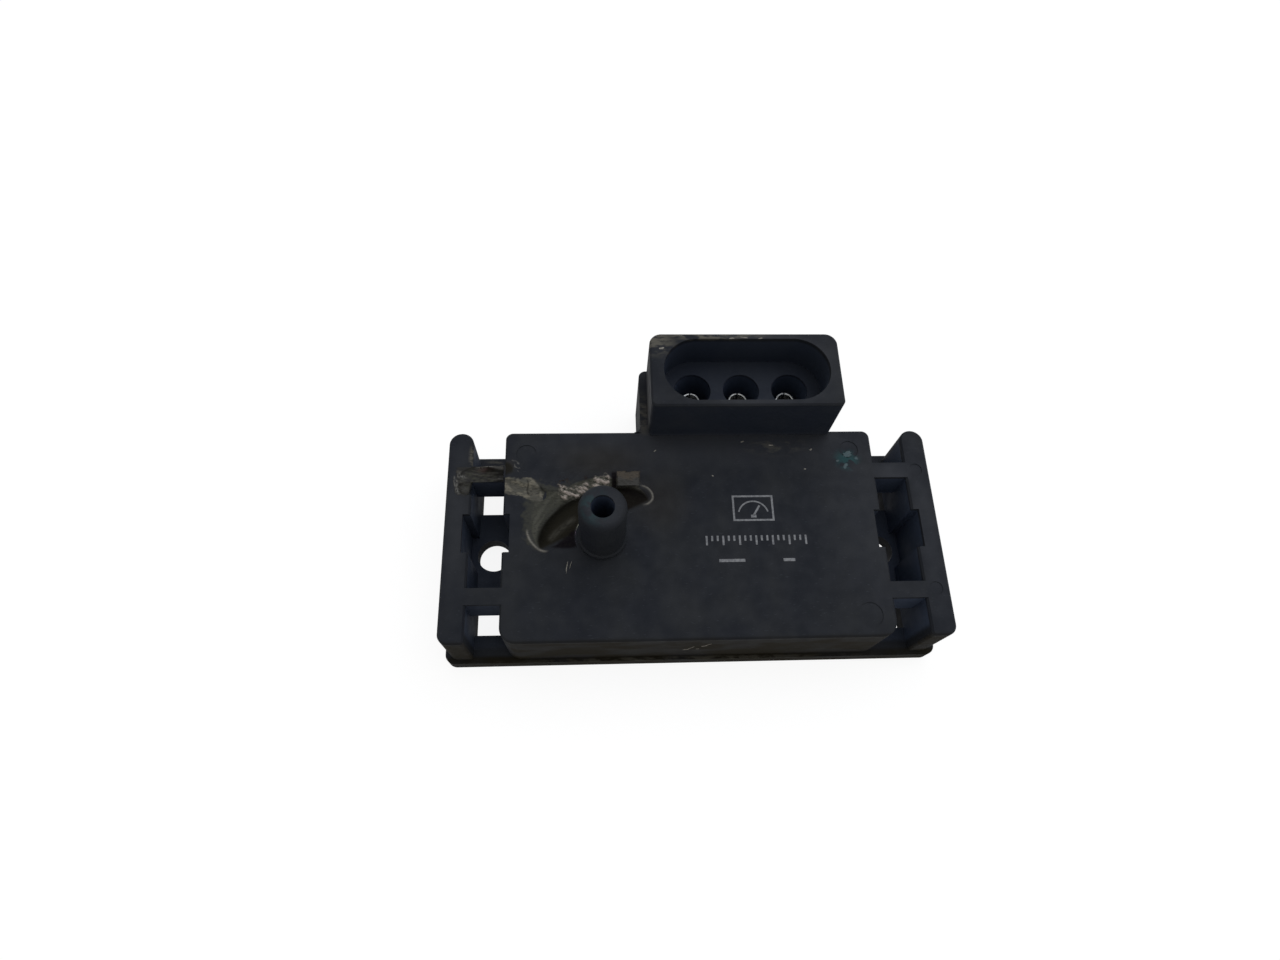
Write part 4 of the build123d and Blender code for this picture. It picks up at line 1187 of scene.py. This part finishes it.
@dataclass
class Flecks(SubAssembly):
    """Small raised marks, each a low dome with an uneven outline.

    Each row of a kind gives a mark's centre, its half length and half width, the turn of its length in degrees,
    and its height.
    """

    level: float = 14.9
    rings: int = 10
    around: int = 36
    inset: float = 0.01
    root: float = 0.04

    def dome(self, name: str, middle: tuple[float, float], radii: tuple[float, float], turn: float, height: float,
             seed: int, level: float, wall: Optional[float] = None) -> Piece:
        """A low dome: its height falls with the square of the radius, and its outline wavers.

        It lies on a level face, or on the near wall, where its middle is given along X and Z.

        Args:
            name: the piece's name.
            middle: its centre in plan, in millimetres.
            radii: its half length and half width.
            turn: the angle of its length to X, in degrees.
            height: how far it stands up.
            seed: picks the outline.
            level: the face's height.
            wall: the wall's place along Y, if it is on the wall.

        Returns:
            The dome, closed below the surface.
        """
        share = np.concatenate([np.linspace(0, 1, self.rings), np.linspace(1, 0, 3)[1:]])
        upper = np.arange(len(share)) < self.rings
        angle = np.linspace(0, TAU, self.around, endpoint=False)
        outline = 1 + 0.28 * ripple(np.cos(angle) * 2, np.sin(angle) * 2, 2.2, seed)
        c, s = np.cos(np.radians(turn)), np.sin(np.radians(turn))
        a = share[:, None] * outline * radii[0] * np.cos(angle)
        b = share[:, None] * outline * radii[1] * np.sin(angle)
        z = np.where(upper, height * (1 - share**2) - self.inset, -self.root)[:, None] + np.zeros(self.around)
        along, across = middle[0] + a * c - b * s, middle[1] + a * s + b * c
        points = [along, across, level + z] if wall is None else [along, wall - z, across]
        return closed_sheet(name, np.stack(points, -1))

    def scatter(self, kind: str, rows: tuple, seed: int, level: float,
                wall: Optional[float] = None) -> list[Piece]:
        """The domes of one kind, with their names numbered from 1 and their seeds counted on from the first."""
        return [self.dome(f"{kind}_{i + 1}", *row, seed + i, level, wall) for i, row in enumerate(rows)]


@dataclass
class PaintDabs(Flecks):
    """The turquoise dabs near the far right corner of the top face."""

    dabs: tuple = (((26.8, 13.4), (0.9, 0.5), 20, 0.04), ((26.2, 11.2), (0.6, 0.35), 60, 0.035),
                   ((28.3, 12.6), (0.4, 0.25), -30, 0.03), ((25.0, 12.2), (0.35, 0.2), 10, 0.03))

    def build(self) -> list[Piece]:
        """Makes the dabs."""
        return self.scatter("paint_dab", self.dabs, 20, self.level)


@dataclass
class Nicks(Flecks):
    """The pale nicks and scratches of the top face and the connector's rim, and the chips of the near wall."""

    rim_level: float = 25.7
    wall: float = -17.85
    tone: str = DamageTones.nick_and_highlight
    flat: tuple = (((9.0, 15.9), (0.35, 0.12), 15, 0.05), ((13.8, 15.2), (0.4, 0.14), -10, 0.05),
                   ((20.6, 14.3), (0.3, 0.16), 30, 0.05), ((19.2, 10.7), (0.25, 0.12), 5, 0.05),
                   ((-20.7, -5.9), (1.2, 0.08), 82, 0.04), ((-20.1, -5.5), (0.7, 0.06), 75, 0.04),
                   ((-6.0, 14.3), (0.3, 0.1), 40, 0.04), ((3.5, 9.6), (0.22, 0.1), -20, 0.04))
    rim: tuple = (((-5.1, 27.7), (0.5, 0.22), 8, 0.05), ((6.6, 29.6), (0.5, 0.12), 4, 0.04),
                  ((8.6, 29.75), (0.7, 0.13), -6, 0.05), ((11.4, 29.6), (0.4, 0.1), 12, 0.04))
    chips: tuple = (((-1.75, 7.85), (0.55, 0.2), 25, 0.06), ((-1.0, 9.2), (1.15, 0.14), 65, 0.06),
                    ((0.95, 10.3), (0.6, 0.28), 40, 0.07), ((1.5, 11.2), (0.8, 0.1), 55, 0.05),
                    ((0.1, 8.2), (0.3, 0.12), 10, 0.05))

    def build(self) -> list[Piece]:
        """Makes the nicks and chips, with the pale tone of torn plastic."""
        pieces = [*self.scatter("nick", self.flat, 40, self.level),
                  *self.scatter("rim_nick", self.rim, 60, self.rim_level),
                  *self.scatter("chip", self.chips, 70, self.level, self.wall)]
        for piece in pieces:
            count = len(piece.data.vertices)
            coat = Coat((count,))
            coat.lay((self.tone, np.ones(count)))
            coat.write(piece.data)
        return pieces


@dataclass
class Terminals(SubAssembly):
    """The three rolled pins, as smooth-shaded copies of their nodes."""

    names: tuple[str, ...] = ("terminal_supply", "terminal_signal", "terminal_ground")
    crease: float = 40.0
    slot = Slot.TERMINAL

    def build(self) -> list[Piece]:
        """Copies each pin."""
        return [smooth_copy(name, name.replace("terminal", "pin"), self.crease) for name in self.names]


@dataclass
class InnerPieces:
    """What the housing holds, and its cover. They keep their nodes, and each gets its own material's finish."""

    finishes: tuple = (
        (SILICONE, ("port_seal_ring", "cover_seal_bead", "substrate_bond")), (ALUMINA, ("circuit_substrate",)),
        (CELL_GLASS, ("glass_pedestal",)), (SILICON, ("sensing_die", "vacuum_cap")),
        (TINNED_STEEL, ("cell_cover",)), (BOND_WIRE, ("die_wires", "terminal_wire")),
        (EPOXY, ("amplifier_chip",)), (TITANATE, ("chip_capacitor",)), (RESISTOR_PASTE, ("trim_resistor",)),
    )

    def dress(self, plastic: Material) -> None:
        """Puts each finish on every node whose name starts with one of its words, and the plastic on the cover."""
        made = [(plastic, ("base_cover",))] + [(finish.make(), starts) for finish, starts in self.finishes]
        for material, starts in made:
            for name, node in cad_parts.items():
                if name.startswith(starts):
                    node.data.materials.clear()
                    node.data.materials.append(material)
                    LOG.info("%s: %s", name, material.name)


@dataclass
class Studio:
    """A plain white floor, one large soft lamp overhead, weak fill all round, and the camera.

    The camera's and the floor's places are in millimetres, the lamp's in metres.
    """

    image_width: int = 1280
    focal_pixels: float = 817.187
    sensor: float = 36.0
    place: tuple[float, float, float] = (-15.797, -44.332, 139.412)
    tilt: float = 23.358
    roll: float = -6.441
    yaw: float = -7.605
    clip_start: float = 5.0
    sky: float = 0.5
    floor_half: float = 1500.0
    floor_level: float = -0.02
    floor_seen: tuple[float, float] = (0.72, 0.2)
    fibre_size: float = 0.5
    glow: float = 1.22
    lamp_place: tuple[float, float, float] = (0.26, 0.3, 0.86)
    lamp_size: float = 1.0
    lamp_watts: float = 4.9
    lamp_tone: str = "#eaf1ff"

    def camera(self) -> None:
        """The camera: looking down, tilted towards +Y, turned about Z, then rolled about its own line of sight."""
        data = bpy.data.cameras.new("camera")
        data.sensor_width = self.sensor
        data.lens = self.sensor * self.focal_pixels / self.image_width
        data.clip_start = self.clip_start * MM
        eye = bpy.data.objects.new("camera", data)
        bpy.context.scene.collection.objects.link(eye)
        turn = (Matrix.Rotation(np.radians(self.yaw), 4, "Z") @ Matrix.Rotation(np.radians(self.tilt), 4, "X")
                @ Matrix.Rotation(np.radians(-self.roll), 4, "Z"))
        eye.matrix_world = Matrix.Translation([p * MM for p in self.place]) @ turn
        bpy.context.scene.camera = eye

    def floor(self) -> None:
        """A flat white floor; seen straight it is lifted towards pure white, and it keeps a soft shadow."""
        h, z = self.floor_half, self.floor_level
        corners = np.array([(-h, -h, z), (h, -h, z), (h, h, z), (-h, h, z)])
        floor = link("floor", new_mesh("floor", corners, [(0, 1, 2, 3)]))
        material = bpy.data.materials.new("white paper floor")
        shade = Shading(material)
        fibre = shade.soft_step(shade.pattern(self.fibre_size), 0.3, 0.7)
        paper = shade.add("BsdfDiffuse", {"Color": shade.layered(linear("#d3d2d0"), (fibre, linear("#d9d8d6")))})
        glow = shade.add("Emission", Color=grey(1.0), Strength=self.glow)
        shade.close("Material", shade.ground(paper, glow, *self.floor_seen))
        floor.data.materials.append(material)

    def lamp(self) -> None:
        """The soft lamp: a square area lamp that points at the sensor."""
        data = bpy.data.lights.new("softbox", "AREA")
        data.shape, data.size, data.energy = "SQUARE", self.lamp_size, self.lamp_watts
        data.color = linear(self.lamp_tone)[:3]
        lamp = bpy.data.objects.new("softbox", data)
        bpy.context.scene.collection.objects.link(lamp)
        place = Matrix.Translation(self.lamp_place)
        lamp.matrix_world = place @ place.to_translation().to_track_quat("Z", "Y").to_matrix().to_4x4()

    def world(self) -> None:
        """A weak even sky, and pure white where it is seen straight."""
        world = bpy.data.worlds.new("sky")
        shade = Shading(world)
        fill = shade.add("Background", Color=linear("#f6f4f0"), Strength=self.sky)
        white = shade.add("Background", Color=grey(1.0), Strength=1.0)
        shade.close("World", shade.ground(fill, white, 1.0, 1.0))
        bpy.context.scene.world = world

    def build(self) -> None:
        """Sets up the whole studio."""
        self.camera()
        self.floor()
        self.world()
        self.lamp()
        bpy.context.scene.view_settings.view_transform = "Standard"


def main() -> None:
    """Builds the sensor's sub-assemblies in order; each piece is reported when it is dressed."""
    logging.basicConfig(level=logging.INFO, format="%(name)s: %(message)s")
    Studio().build()
    plastic = MouldedPbt().make()
    Housing().dress(plastic)
    HotToolDamage().dress(plastic)
    MeltedCorner().dress(plastic)
    PrintPlace().dress(PRINT_INK.make())
    PaintDabs().dress(ENAMEL.make())
    Nicks().dress(plastic)
    Terminals().dress(TINNED_BRASS.make())
    InnerPieces().dress(plastic)


if __name__ == "__main__":
    main()
